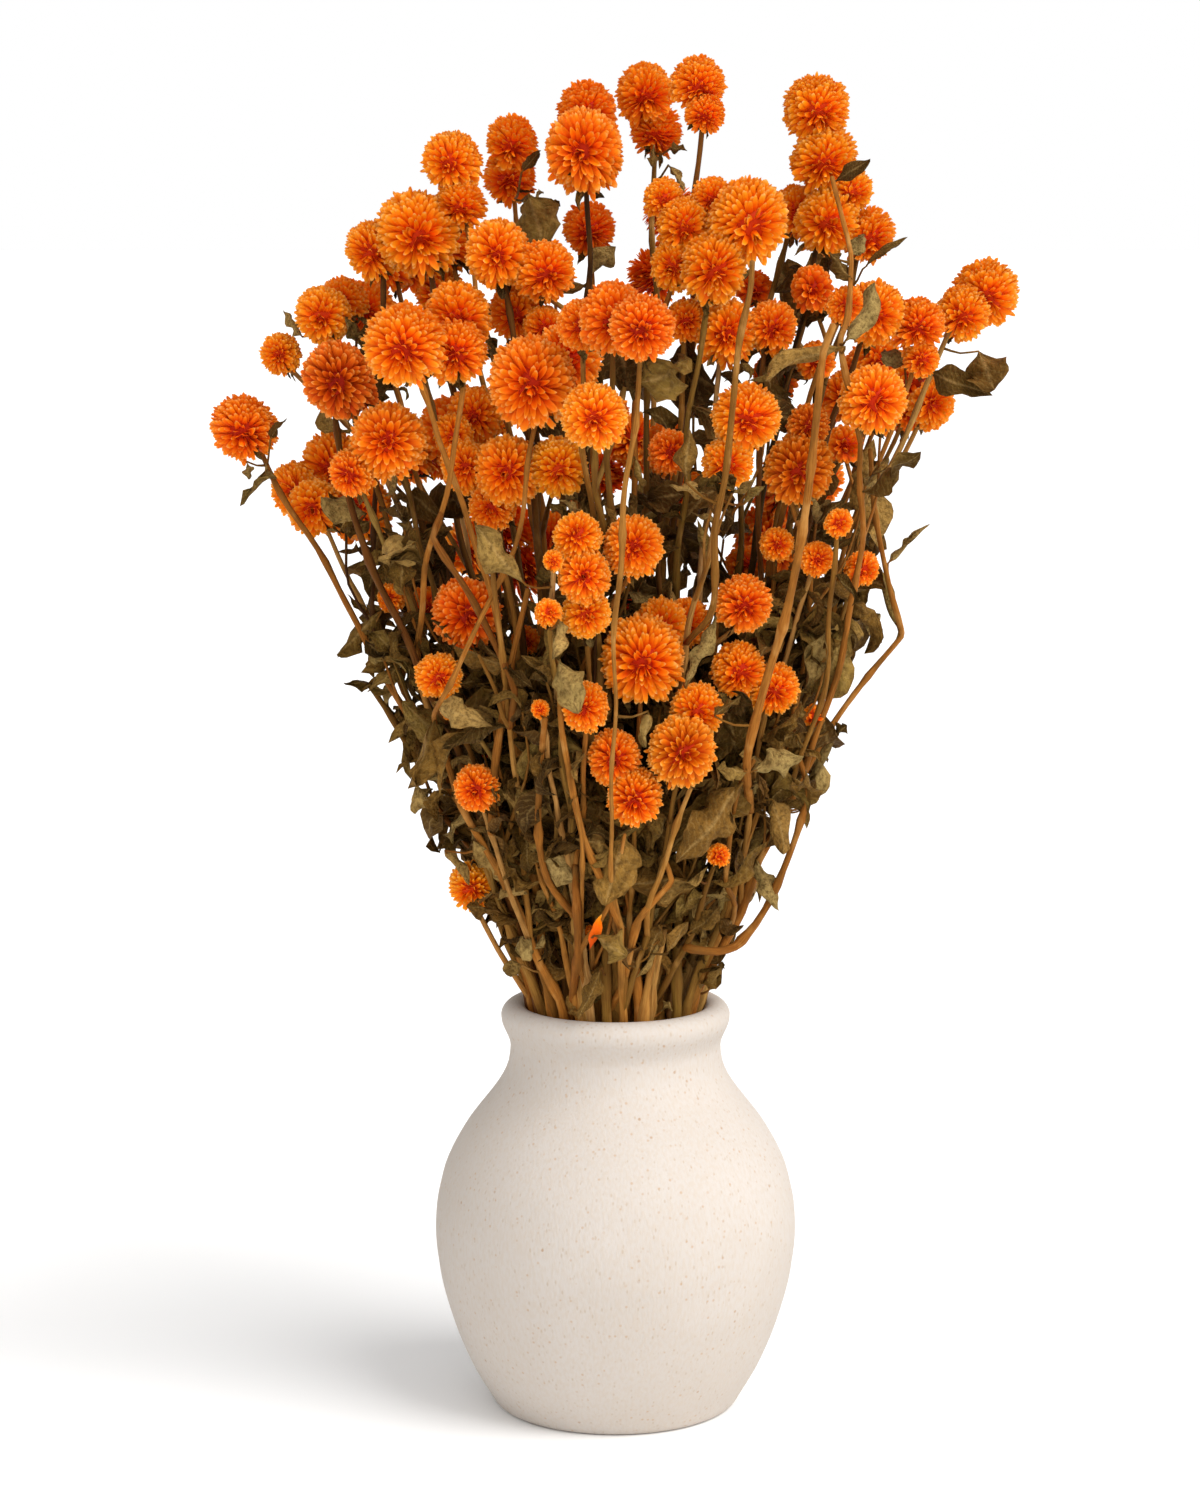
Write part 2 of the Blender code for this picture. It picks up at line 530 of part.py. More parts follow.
def settle(stems, heads):
    """Bend the stems clear of the other sprays, of the flower heads and of the vase's wall."""
    starts = np.cumsum([0] + [len(stem.points) for stem in stems])
    points = np.concatenate([stem.points for stem in stems])
    radii = np.concatenate([stem.radii for stem in stems])
    first = np.concatenate([np.arange(starts[i], starts[i + 1] - 1) for i in range(len(stems))])
    second = first + 1
    owner = np.concatenate([[i] * (len(stem.points) - 1) for i, stem in enumerate(stems)])
    sprays = np.array([stem.spray for stem in stems])[owner]
    a, b = np.triu_indices(len(first), 1)
    rooted = np.zeros(len(first), bool)
    rooted[starts[:-1] - np.arange(len(stems))] = True
    keep = (sprays[a] != sprays[b]) | ~(rooted[a] | rooted[b] | (owner[a] == owner[b]))
    a, b = a[keep], b[keep]
    centres = np.array([head.centre for head in heads])
    sizes = np.array([head.radius for head in heads])
    own = np.array([[stem.head is head for head in heads] for stem in stems])[owner]
    last = np.zeros(len(first), bool)
    last[starts[1:] - 2 - np.arange(len(stems))] = True
    fixed = np.zeros(len(points), bool)
    fixed[starts[:-1]] = True
    fixed[starts[1:] - 1] = True
    held = points[:, 2] < VASE_HEIGHT + 2 * NECK_RISE
    for index, stem in enumerate(stems):
        fixed[starts[index]:starts[index] + stem.trunk] = True
    forks = [(index, stem) for index, stem in enumerate(stems) if stem.parent is not None]
    parents = [starts[stems.index(stem.parent)] + stem.fork for index, stem in forks]
    for turn in range(SETTLE_ROUNDS):
        moves = np.zeros_like(points)
        hits = np.full(len(points), 1e-9)
        s, t = closest_on_segments(points[first[a]], points[second[a]], points[first[b]], points[second[b]])
        here = points[first[a]] * (1 - s)[:, None] + points[second[a]] * s[:, None]
        there = points[first[b]] * (1 - t)[:, None] + points[second[b]] * t[:, None]
        gap = here - there
        length = np.maximum(np.linalg.norm(gap, axis=1), 1e-6)
        room = np.maximum(radii[first[a]], radii[second[a]]) + np.maximum(radii[first[b]], radii[second[b]])
        short = np.maximum(room + SPRAY_GAP * SPRAY_ROOM - length, 0)
        push = gap / length[:, None] * (0.5 * short)[:, None]
        near = short > 0
        for ends, share, sign in ((first[a], 1 - s, 1), (second[a], s, 1), (first[b], 1 - t, -1), (second[b], t, -1)):
            np.add.at(moves, ends[near], sign * push[near] * share[near][:, None] * PUSH)
            np.add.at(hits, ends[near], share[near])
        p, q = points[first], points[second]
        along = np.clip(((centres[None] - p[:, None]) * (q - p)[:, None]).sum(-1)
                        / np.maximum(((q - p) ** 2).sum(-1), 1e-12)[:, None], 0, 1)
        along = np.where(own & last[:, None], 0, along)
        spot = p[:, None] + (q - p)[:, None] * along[..., None]
        gap = spot - centres[None]
        length = np.maximum(np.linalg.norm(gap, axis=2), 1e-6)
        room = sizes[None] + np.maximum(radii[first], radii[second])[:, None] + SPRAY_GAP
        short = np.maximum(room - length, 0)
        push = gap / length[..., None] * short[..., None]
        for ends, share in ((first, 1 - along), (second, along)):
            np.add.at(moves, ends, (push * share[..., None]).sum(1))
            np.add.at(hits, ends, ((short > 0) * share).sum(1))
        moves /= np.maximum(hits, 1)[:, None]
        straight = np.zeros_like(points)
        straight[1:-1] = 0.5 * (points[:-2] + points[2:]) - points[1:-1]
        ease = EASE if turn < EASE_ROUNDS else 0.0
        moves += ease * straight
        moves[fixed] = 0
        moves[held, 2] = 0
        points += moves
        flat = np.linalg.norm(points[:, :2], axis=1)
        inside = points[:, 2] < VASE_HEIGHT + 2 * NECK_RISE
        limit = LIP_CENTRE - LIP_RADIUS - radii - CLEAR
        squeeze = np.where(inside & (flat > limit), limit / np.maximum(flat, 1e-9), 1.0)
        points[:, :2] *= squeeze[:, None]
        for (index, stem), source in zip(forks, parents):
            points[starts[index]] = points[source]
    for index, stem in enumerate(stems):
        stem.points = points[starts[index]:starts[index + 1]]


def joined(name, pieces, home):
    """The pieces fused by one Boolean union into one object, as one body with nothing loose or sealed in."""
    group = collection(name + "_pieces")
    for piece in pieces[1:]:
        home.objects.unlink(piece)
        group.objects.link(piece)
    whole = pieces[0]
    if len(pieces) > 1:
        union = whole.modifiers.new("union", "BOOLEAN")
        union.operation = "UNION"
        union.operand_type = "COLLECTION"
        union.collection = group
        union.solver = "MANIFOLD"
        bpy.context.view_layer.update()
        graph = bpy.context.evaluated_depsgraph_get()
        fused = bpy.data.meshes.new_from_object(whole.evaluated_get(graph))
        whole.modifiers.clear()
        whole.data = fused
    for piece in pieces[1:]:
        bpy.data.objects.remove(piece, do_unlink=True)
    bpy.data.collections.remove(group)
    keep_outer_body(whole.data)
    whole.name = name
    whole.data.name = name
    return whole


def keep_outer_body(mesh):
    """Keep the largest closed shell, and drop scraps and sealed hollows."""
    shape = bmesh.new()
    shape.from_mesh(mesh)
    unseen = set(shape.verts)
    shells = []
    while unseen:
        shell, edge = set(), [unseen.pop()]
        while edge:
            vert = edge.pop()
            shell.add(vert)
            for link in vert.link_edges:
                other = link.other_vert(vert)
                if other in unseen:
                    unseen.remove(other)
                    edge.append(other)
        shells.append(shell)

    def volume(shell):
        faces = {face for vert in shell for face in vert.link_faces}
        total = 0.0
        for face in faces:
            corners = [vert.co for vert in face.verts]
            for second, third in zip(corners[1:], corners[2:]):
                total += corners[0].dot(second.cross(third))
        return total

    shells.sort(key=volume)
    for shell in shells[:-1]:
        bmesh.ops.delete(shape, geom=list(shell), context="VERTS")
    shape.to_mesh(mesh)
    shape.free()


def head_object(head, home, finish):
    """A faceted ball of bracts: points spread evenly on the ball, hulled, with a spike raised on each face."""
    count = HEAD_POINTS + sum(head.radius > size for size in HEAD_SIZES)
    shape = bmesh.new()
    turn = math.radians(GOLDEN_DEGREES)
    for index in range(count):
        height = 1 - 2 * index / (count - 1)
        ring = math.sqrt(1 - height * height)
        shape.verts.new((VALLEY * ring * math.cos(turn * index), VALLEY * ring * math.sin(turn * index),
                         VALLEY * height))
    bmesh.ops.convex_hull(shape, input=shape.verts)
    bmesh.ops.triangulate(shape, faces=shape.faces)
    raised = bmesh.ops.poke(shape, faces=shape.faces)["verts"]
    for vert in raised:
        vert.co = vert.co.normalized()
    bmesh.ops.recalc_face_normals(shape, faces=shape.faces)
    mesh = bpy.data.meshes.new(head.node)
    facing = Vector((0, 0, 1)).rotation_difference(head.axis).to_matrix().to_4x4()
    spin = Matrix.Rotation(GOLDEN_DEGREES * head.centre.x / MM, 4, "Z")
    shape.transform(Matrix.Translation(head.centre) @ facing @ spin @ Matrix.Scale(head.radius, 4))
    shape.to_mesh(mesh)
    shape.free()
    mesh.materials.append(finish)
    made = bpy.data.objects.new(head.node, mesh)
    home.objects.link(made)
    return made


def tube_object(stem, home, finish):
    """A stem as a bevelled curve, made a mesh with its caps welded."""
    line = bpy.data.curves.new("stem", "CURVE")
    line.dimensions = "3D"
    line.bevel_depth = 1.0
    line.bevel_resolution = 0
    line.use_fill_caps = True
    spline = line.splines.new("POLY")
    spline.points.add(len(stem.points) - 1)
    for point, place, radius in zip(spline.points, stem.points, stem.radii):
        point.co = (*place, 1.0)
        point.radius = radius
    guide = bpy.data.objects.new("stem", line)
    home.objects.link(guide)
    bpy.context.view_layer.update()
    graph = bpy.context.evaluated_depsgraph_get()
    mesh = bpy.data.meshes.new_from_object(guide.evaluated_get(graph))
    shape = bmesh.new()
    shape.from_mesh(mesh)
    bmesh.ops.remove_doubles(shape, verts=shape.verts, dist=WELD)
    bmesh.ops.recalc_face_normals(shape, faces=shape.faces)
    shape.to_mesh(mesh)
    shape.free()
    made = bpy.data.objects.new(stem.spray, mesh)
    made.matrix_world = guide.matrix_world
    home.objects.link(made)
    bpy.data.objects.remove(guide, do_unlink=True)
    mesh.materials.clear()
    mesh.materials.append(finish)
    return made


class Leaf:
    """A dried, folded and waved blade that starts in a stem's heart."""

    def __init__(self, stem, root, way, side, length, phase):
        self.stem = stem
        self.spray = stem.spray
        self.stations = []
        normal = way.cross(side).normalized()
        width = length * LEAF_SHARE
        for index in range(LEAF_SEGMENTS + 1):
            t = index / LEAF_SEGMENTS
            middle = root + way * length * t - normal * length * LEAF_DROOP * t * t
            half = 0.5 * width * math.sin(math.pi * (0.10 + 0.90 * t) ** 0.9)
            wave = LEAF_WAVE * math.sin(WAVE_STEP * index + phase)
            lift = LEAF_FOLD * half
            left = middle + side * half + normal * (lift + wave)
            right = middle - side * half + normal * (lift - wave)
            self.stations.append((left, middle + normal * LEAF_RIB / 2, right, middle - normal * LEAF_RIB / 2))

    def reach(self):
        return [corner for station in self.stations[1:] for corner in station]


def leaf_object(leaf, home, finish):
    """A blade whose two faces are split into triangles alike."""
    shape = bmesh.new()
    rings = [[shape.verts.new(corner) for corner in station] for station in leaf.stations[1:-1]]
    root = shape.verts.new(leaf.stations[0][1])
    tip = shape.verts.new(leaf.stations[-1][1])
    for near, far in zip(rings, rings[1:]):
        for edge in (0, 2):
            for rib in (1, 3):
                shape.faces.new((near[edge], near[rib], far[rib]))
                shape.faces.new((near[edge], far[rib], far[edge]))
    for corner in range(4):
        shape.faces.new((root, rings[0][corner], rings[0][(corner + 1) % 4]))
        shape.faces.new((tip, rings[-1][corner], rings[-1][(corner + 1) % 4]))
    bmesh.ops.recalc_face_normals(shape, faces=shape.faces)
    mesh = bpy.data.meshes.new(leaf.spray)
    shape.to_mesh(mesh)
    shape.free()
    mesh.materials.append(finish)
    made = bpy.data.objects.new(leaf.spray, mesh)
    home.objects.link(made)
    return made


def leaf_is_clear(leaf, stems, heads, leaves):
    """Whether a leaf keeps off every head and off the stems and leaves of the other sprays."""
    corners = np.array(leaf.reach())
    for head in heads:
        if np.linalg.norm(corners - np.array(head.centre), axis=1).min() < head.radius + LEAF_GAPS[0]:
            return False
    if (corners[:, 2] < VASE_HEIGHT + LEAF_GAPS[3]).any():
        return False
    for stem in stems:
        if stem is leaf.stem:
            continue
        for start, end, radius in zip(stem.points, stem.points[1:], stem.radii):
            line = end - start
            t = np.clip(((corners - start) @ line) / (line @ line), 0, 1)
            if np.linalg.norm(corners - start - t[:, None] * line, axis=1).min() < radius + LEAF_GAPS[1]:
                return False
    for other in leaves:
        gaps = np.linalg.norm(corners[:, None] - np.array(other.reach())[None], axis=2)
        if gaps.min() < LEAF_GAPS[2]:
            return False
    return True


def plan_leaves(stems, heads, draw):
    """The large leaves that show, then pairs of leaves by rule up the stems."""
    leaves = []
    samples = []
    for stem in stems:
        for index in range(len(stem.points) - 1):
            for share in (0.0, 0.33, 0.67):
                place = stem.points[index] * (1 - share) + stem.points[index + 1] * share
                if place[2] > VASE_HEIGHT + LEAF_ROOT_RISE:
                    samples.append((Vector(place), stem, index))
    for root_x, root_z, tip_x, tip_z in LEAVES:
        aim = seen(root_x * MM, root_z * MM, front_depth(root_x * MM, root_z * MM))
        length = max(math.hypot(tip_x - root_x, tip_z - root_z) * MM, LEAF_LENGTH[0])
        ranked = sorted(samples, key=lambda sample: (sample[0] - aim).length)
        for root, stem, index in ranked[:30]:
            tip = seen(tip_x * MM, tip_z * MM, aim.y + draw.uniform(-0.01, 0.01))
            way = (tip - root).normalized()
            side = way.cross(Vector((0, 1, 0.3))).normalized()
            leaf = Leaf(stem, root, way, side, min(length * LEAF_LONGEST, (tip - root).length), draw.uniform(0, 6))
            if leaf_is_clear(leaf, stems, heads, leaves):
                leaves.append(leaf)
                break
    for attempt in range(LEAF_TRIES):
        if len(leaves) >= len(LEAVES) + RANDOM_LEAVES:
            break
        root, stem, index = draw.choice(samples)
        if root.z > draw.uniform(*LEAF_HEIGHTS):
            continue
        outward = Vector((root.x, root.y, 0)).normalized()
        turned = Matrix.Rotation(draw.uniform(-LEAF_TURN, LEAF_TURN), 3, "Z") @ outward
        way = (turned + Vector((0, 0, draw.uniform(*LEAF_RISE)))).normalized()
        side = way.cross(Vector((0, 0, 1))).normalized()
        side = Matrix.Rotation(draw.uniform(-LEAF_TWIST, LEAF_TWIST), 3, way) @ side
        leaf = Leaf(stem, root, way, side, draw.uniform(*LEAF_LENGTH), draw.uniform(0, 6))
        if leaf_is_clear(leaf, stems, heads, leaves):
            leaves.append(leaf)
    return leaves


def plan_bunch():
    """Heads, stems and leaves of the whole bunch."""
    draw = random.Random(SEED)
    heads = front_heads()
    heads += back_heads(heads, draw)
    counts = {}
    for head in heads:
        head.place = counts.get(head.node, 0)
        counts[head.node] = head.place + 1
    mark_stalks(heads)
    stems = plan_stems(heads, draw)
    settle(stems, heads)
    return heads, stems, plan_leaves(stems, heads, draw)


def main():
    clear_scene()
    home = collection(NAME)
    stoneware = material("stoneware", (236, 226, 215), 0.85)
    petals = material("dried_bracts", (226, 110, 20), 0.8)
    stalks = material("dried_stems", (120, 98, 52), 0.85)
    build_vase(home, stoneware)
    heads, stems, leaves = plan_bunch()
    for spray in sorted({stem.spray for stem in stems}):
        pieces = [tube_object(stem, home, stalks) for stem in stems if stem.spray == spray]
        pieces += [leaf_object(leaf, home, stalks) for leaf in leaves if leaf.spray == spray]
        pieces += [head_object(stem.head, home, petals) for stem in stems
                   if stem.spray == spray and stem.head.small]
        joined(spray, pieces, home)
    for node in sorted({head.node for head in heads if not head.small}):
        joined("bloom_" + node, [head_object(head, home, petals) for head in heads if head.node == node], home)


main()
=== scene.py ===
"""The looks of a vase of dried globe amaranth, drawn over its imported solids.

The layout of heads, stems and leaves is worked out by the same rules and the same seed as the solids were.
"""

import json
import math
import random

import bmesh
import bpy
import numpy as np
from mathutils import Matrix, Vector

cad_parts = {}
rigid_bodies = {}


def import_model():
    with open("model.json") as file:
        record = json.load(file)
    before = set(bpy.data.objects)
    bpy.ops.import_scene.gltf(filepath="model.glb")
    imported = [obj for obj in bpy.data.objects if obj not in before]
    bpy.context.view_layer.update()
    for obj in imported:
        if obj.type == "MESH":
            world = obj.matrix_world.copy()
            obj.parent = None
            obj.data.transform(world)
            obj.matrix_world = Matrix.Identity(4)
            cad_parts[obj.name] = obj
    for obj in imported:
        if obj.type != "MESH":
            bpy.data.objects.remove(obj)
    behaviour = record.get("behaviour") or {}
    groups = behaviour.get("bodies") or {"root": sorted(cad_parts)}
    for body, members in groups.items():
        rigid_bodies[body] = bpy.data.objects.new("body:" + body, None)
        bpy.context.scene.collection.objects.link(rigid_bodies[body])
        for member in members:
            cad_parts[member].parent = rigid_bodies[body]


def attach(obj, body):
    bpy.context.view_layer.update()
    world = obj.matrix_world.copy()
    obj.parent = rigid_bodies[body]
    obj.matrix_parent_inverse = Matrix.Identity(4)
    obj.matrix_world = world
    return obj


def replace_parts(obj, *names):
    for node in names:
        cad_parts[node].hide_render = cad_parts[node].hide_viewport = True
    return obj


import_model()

MM = 0.001
SEED = 11

# The vase
VASE_HEIGHT = 0.1765
FOOT_RADIUS = 0.0505
BELLY_RADIUS = 0.0778
BELLY_HEIGHT = 0.077
NECK_RADIUS = 0.0452
NECK_HEIGHT = 0.1565
LIP_RADIUS = 0.0060
LIP_CENTRE = 0.0432
WALL = 0.0058
FLOOR_THICKNESS = 0.0080
# The inner side from the floor up to the neck: radius and height in metres
INNER_SIDE = [(FOOT_RADIUS - WALL, FLOOR_THICKNESS), (0.0665, 0.0430), (BELLY_RADIUS - WALL, BELLY_HEIGHT),
              (0.0655, 0.1080), (0.0505, 0.1310), (NECK_RADIUS - WALL, NECK_HEIGHT)]

# The bunch is measured as seen from this point, in front of the vase
EYE = Vector((0.0, -1.50, 0.506))
DEPTH_SHARE = 0.80
# Half the bunch's width at each height, in millimetres: height, half width
OUTLINE = [(177, 30), (199, 45), (220, 64), (264, 90), (307, 108), (349, 114), (392, 135),
           (421, 147), (463, 146), (496, 116), (537, 96), (574, 60)]

# Heads that have grown into each other or stand alone, as seen from the eye, in millimetres where the
# line of sight meets the plane of the vase's axis: across, up, radius, and how far back the head stands,
# from 0 on the front of the bunch to 1 on its back
BUNCHES = {
    "left_crown": [(-68, 533, 12.5, 0.35), (-63, 515, 11, 0.3), (-84, 502, 17, 0.2), (-101, 496, 11.5, 0.3)],
    "left_peak": [(-43, 540, 11, 0.75), (-44, 526, 11, 0.8)],
    "middle_peak": [(-13, 537, 16, 0.4), (-12, 553, 12.5, 0.5)],
    "left_shoulder": [(-50, 495, 13.5, 0.25), (-29, 486, 13, 0.2)],
    "middle_small": [(-11, 505, 11, 0.6)],
    "left_rim": [(-122, 469, 12, 0.3), (-114, 475, 10.5, 0.6), (-104, 471, 12, 0.65)],
    "left_outer": [(-140, 453, 9, 0.6)],
    "left_dark": [(-116, 442, 15, 0.15)],
    "left_front": [(-88, 457, 17.5, 0), (-65, 454, 13.5, 0.02), (-66, 468, 14, 0.15)],
    "centre_left": [(-37, 442, 18.5, 0), (-20, 451, 14, 0.2), (-30, 464, 9, 0.3), (-41, 471, 11.5, 0.5)],
    "centre_red": [(11, 464, 14, 0), (-1, 468, 14.5, 0.05), (-14, 465, 10.5, 0.1)],
    "right_peak_low": [(12, 560, 12, 0.7), (17, 545, 11, 0.8)],
    "right_peak": [(34, 564, 11.5, 0.3), (37, 552, 8.5, 0.3)],
    "right_crown": [(86, 533, 14, 0.3), (83, 556, 14, 0.45), (88, 508, 13.5, 0.4), (99, 519, 9, 0.5),
                    (105, 502, 11.5, 0.5), (75, 512, 11, 0.6)],
    "centre_crown": [(55, 508, 17.5, 0.15), (41, 489, 14, 0.1), (29, 508, 11.5, 0.35), (40, 517, 9, 0.45),
                     (20, 517, 8.5, 0.45), (24, 488, 10, 0.12)],
    "centre_back": [(47, 462, 13.5, 0.3), (29, 467, 9, 0.4), (65, 464, 11, 0.35)],
    "right_shoulder": [(108, 470, 13, 0.1), (96, 473, 8, 0.05), (126, 466, 12, 0.15), (128, 450, 8, 0.4)],
    "right_tip": [(154, 478, 14.5, 0.4), (145, 470, 11.5, 0.4)],
    "right_lower": [(108, 434, 14.5, 0.05)],
    "far_left": [(-156, 422, 13.5, 0.3)],
    "left_cheek": [(-95, 417, 16, 0), (-111, 403, 10, 0.3)],
    "centre_low_left": [(-45, 404, 14.5, 0.05), (-24, 406, 12.5, 0), (-63, 406, 10.5, 0.2),
                        (-68, 419, 8.5, 0.4), (-59, 427, 11.5, 0.5), (-52, 389, 10, 0.35)],
    "centre_bright": [(-9, 427, 14, 0)],
    "column_left": [(-16, 376, 10.5, 0.05), (-13, 360, 11.5, 0), (-13, 344, 11, 0)],
    "left_shade": [(-63, 344, 14.5, 0.15)],
    "left_low": [(-75, 317, 10, 0)],
    "centre_low": [(-13, 304, 10, 0)],
    "centre_mid": [(7, 372, 13, 0.05)],
    "low_pair": [(-1, 283, 11.5, 0), (9, 265, 12, 0)],
    "low_right_pair": [(28, 285, 14.5, 0), (34, 303, 11.5, 0)],
    "right_mid_top": [(55, 427, 15, 0), (47, 407, 11, 0.15)],
    "centre_gap": [(23, 412, 9.5, 0.35)],
    "right_mid": [(77, 404, 14.5, 0.05), (81, 424, 9, 0.4)],
    "right_inner": [(54, 348, 12.5, 0.1)],
    "centre_great": [(12, 324, 18, 0), (19, 338, 11.5, 0.2), (30, 340, 10, 0.45)],
    "right_low_pair": [(52, 320, 11.5, 0.1), (67, 312, 11, 0.1)],
    "left_base": [(-59, 269, 10, 0)],
    "left_pale": [(-61, 227, 8.5, 0)],
}
# Small heads and buds that stay in the node of the spray that carries them
SMALL_HEADS = [(94, 382, 6, 0.1), (85, 367, 7.5, 0.15), (68, 373, 7.5, 0.25), (104, 363, 7.5, 0.2),
               (44, 240, 5, 0), (-53, 369, 4.5, 0), (-26, 366, 4.5, 0), (-32, 303, 4, 0),
               (-95, 350, 6, 0.3), (-70, 303, 5, 0.1), (-10, 207, 3.5, 0), (-38, 332, 6.5, 0.4),
               (-28, 344, 6, 0)]
# Heads round the back, where the bunch is filled in by rule
BACK_BUNCHES = 9
BACK_HEADS = 4
BACK_RADII = (9.5, 15.0)
BACK_HEIGHTS = (0.36, 0.50)
BACK_REACH = (0.86, 0.92)
BACK_SHELL = (0.6, 1.0)
BACK_BAND = (0.30, 0.52)
BACK_TRIES = 4000

# Heads. Distances between two centres are shares of the two radii together: TOUCH joins them as one,
# and CLOSEST and APART keep them from sinking into each other
VALLEY = 0.83
TOUCH = 0.76
BUD_TOUCH = 0.70
BUD_RADIUS = 0.0083
CLOSEST = 0.64
APART = 0.70
CLEAR = 0.0012
SINK = 0.5
DEPTH_STEP = 0.35
DEPTH_PULL = 0.02
LINK_PULL = 3
SIDE_STEP = 0.25
SIDEWAYS = 0.10
SIDEWAYS_MOST = 0.004
HOLD = 0.004
HEAD_ROUNDS = 1600
PULL_ROUNDS = 1120
LEAN_HEIGHT = 0.22
STALK_GAP = 0.0005
HEART = 0.2

# Stems: where some of them pass on the way up, across and up in millimetres as seen from the eye
WAYPOINTS = {
    ("far_left", 0): [(-71, 251), (-94, 307), (-106, 349), (-133, 396)],
    ("left_front", 1): [(-30, 207), (-42, 233), (-57, 258), (-73, 290), (-85, 315), (-82, 369), (-78, 406)],
    ("left_rim", 0): [(-80, 320), (-96, 381), (-118, 427)],
    ("centre_red", 0): [(-1, 350), (1, 381), (6, 418)],
    ("centre_crown", 0): [(39, 344), (45, 393), (51, 436)],
    ("right_crown", 0): [(56, 281), (68, 325), (80, 393), (86, 456)],
    ("right_tip", 0): [(91, 356), (110, 392), (127, 422)],
    ("right_lower", 0): [(58, 207), (79, 264), (95, 300), (122, 336), (116, 366), (107, 400)],
}
SPRAYS = 12
LEADER_SHARE = 0.45
TRUNK_RADIUS = 0.0032
STEM_RADIUS = 0.0024
STALK_RADIUS = 0.0012
FORK_SHARE = 0.75
STEM_STEP = 0.080
SPRAY_GAP = 0.0008
FEET_RADII = (0.031, 0.017)
FOOT_GAP = 0.0007
FORK_STEP = 0.016
FORK_TURN = 1.2
STRAIGHT_END = 0.012
NECK_SHARE = 0.84
NECK_RISE = 0.003
FAN_DEPTH = 0.10
SETTLE_ROUNDS = 260
EASE_ROUNDS = 180
EASE = 0.03
SPRAY_ROOM = 1.5
PUSH = 1.6
# A side branch leaves its stem this far below its head, and above this height
BRANCH_DROP = (0.10, 0.17)
BRANCH_LOWEST = 0.205
BRANCH_RISE_COST = 0.9

# Leaves: root and tip as seen from the eye, in millimetres across and up
LEAVES = [(54, 272, 28, 240), (-119, 326, -103, 343), (61, 448, 98, 461), (-29, 510, -28, 488),
          (157, 457, 156, 433), (-153, 412, -150, 394), (-124, 392, -99, 383), (95, 326, 80, 305),
          (132, 379, 110, 362), (66, 277, 78, 298), (17, 223, 40, 231), (-7, 242, -14, 222),
          (-62, 212, -46, 226), (-79, 290, -90, 262), (-47, 373, -38, 348), (100, 298, 94, 270)]
RANDOM_LEAVES = 38
LEAF_LENGTH = (0.024, 0.038)
LEAF_SHARE = 0.34
LEAF_SEGMENTS = 4
LEAF_RIB = 0.0016
LEAF_WAVE = 0.0016
WAVE_STEP = 2.6
LEAF_DROOP = 0.16
LEAF_FOLD = 0.45
LEAF_LONGEST = 1.15
# A leaf keeps this far from heads, from stems and from other leaves, and this far above the vase's mouth
LEAF_GAPS = (0.0012, 0.0022, 0.0045, 0.006)
LEAF_TRIES = 6000
LEAF_ROOT_RISE = 0.012
# Most leaves by rule start below a height drawn between these
LEAF_HEIGHTS = (0.26, 0.52)
LEAF_TURN = 1.4
LEAF_RISE = (-0.5, 1.0)
LEAF_TWIST = 1.2


def half_width(height):
    """Half the bunch's width at a height, both in metres."""
    return float(np.interp(height, *zip(*[(up * MM, width * MM) for up, width in OUTLINE])))


def front_depth(across, height):
    """Y of the bunch's front face at a place."""
    width = half_width(height)
    share = min(abs(across) / width, 0.98)
    return -DEPTH_SHARE * width * math.sqrt(1 - share * share)


def seen(across, up, depth):
    """The point at this depth on the line from the eye through a place on the axis plane."""
    on_plane = Vector((across, 0.0, up))
    return EYE + (on_plane - EYE) * ((depth - EYE.y) / -EYE.y)


class Head:
    """A flower head: its node, place, radius and the way its crown faces."""

    def __init__(self, node, centre, radius):
        self.node = node
        self.centre = centre
        self.radius = radius
        self.axis = Vector((centre.x, centre.y, LEAN_HEIGHT)).normalized()
        self.place = 0
        self.stalk = True
        self.small = node.startswith("small")

    def pole(self):
        """Where the stalk ends: under the head, or in its heart where both are one node."""
        return self.centre - self.axis * (HEART * self.radius if self.small else VALLEY * self.radius + STALK_GAP)


def nearest_links(places, members):
    """Pairs that join the members into one tree by their shortest gaps."""
    linked, links = [members[0]], []
    waiting = list(members[1:])
    while waiting:
        _, near, far = min((np.linalg.norm(places[a] - places[b]), a, b) for a in linked for b in waiting)
        links.append((near, far))
        linked.append(far)
        waiting.remove(far)
    return links


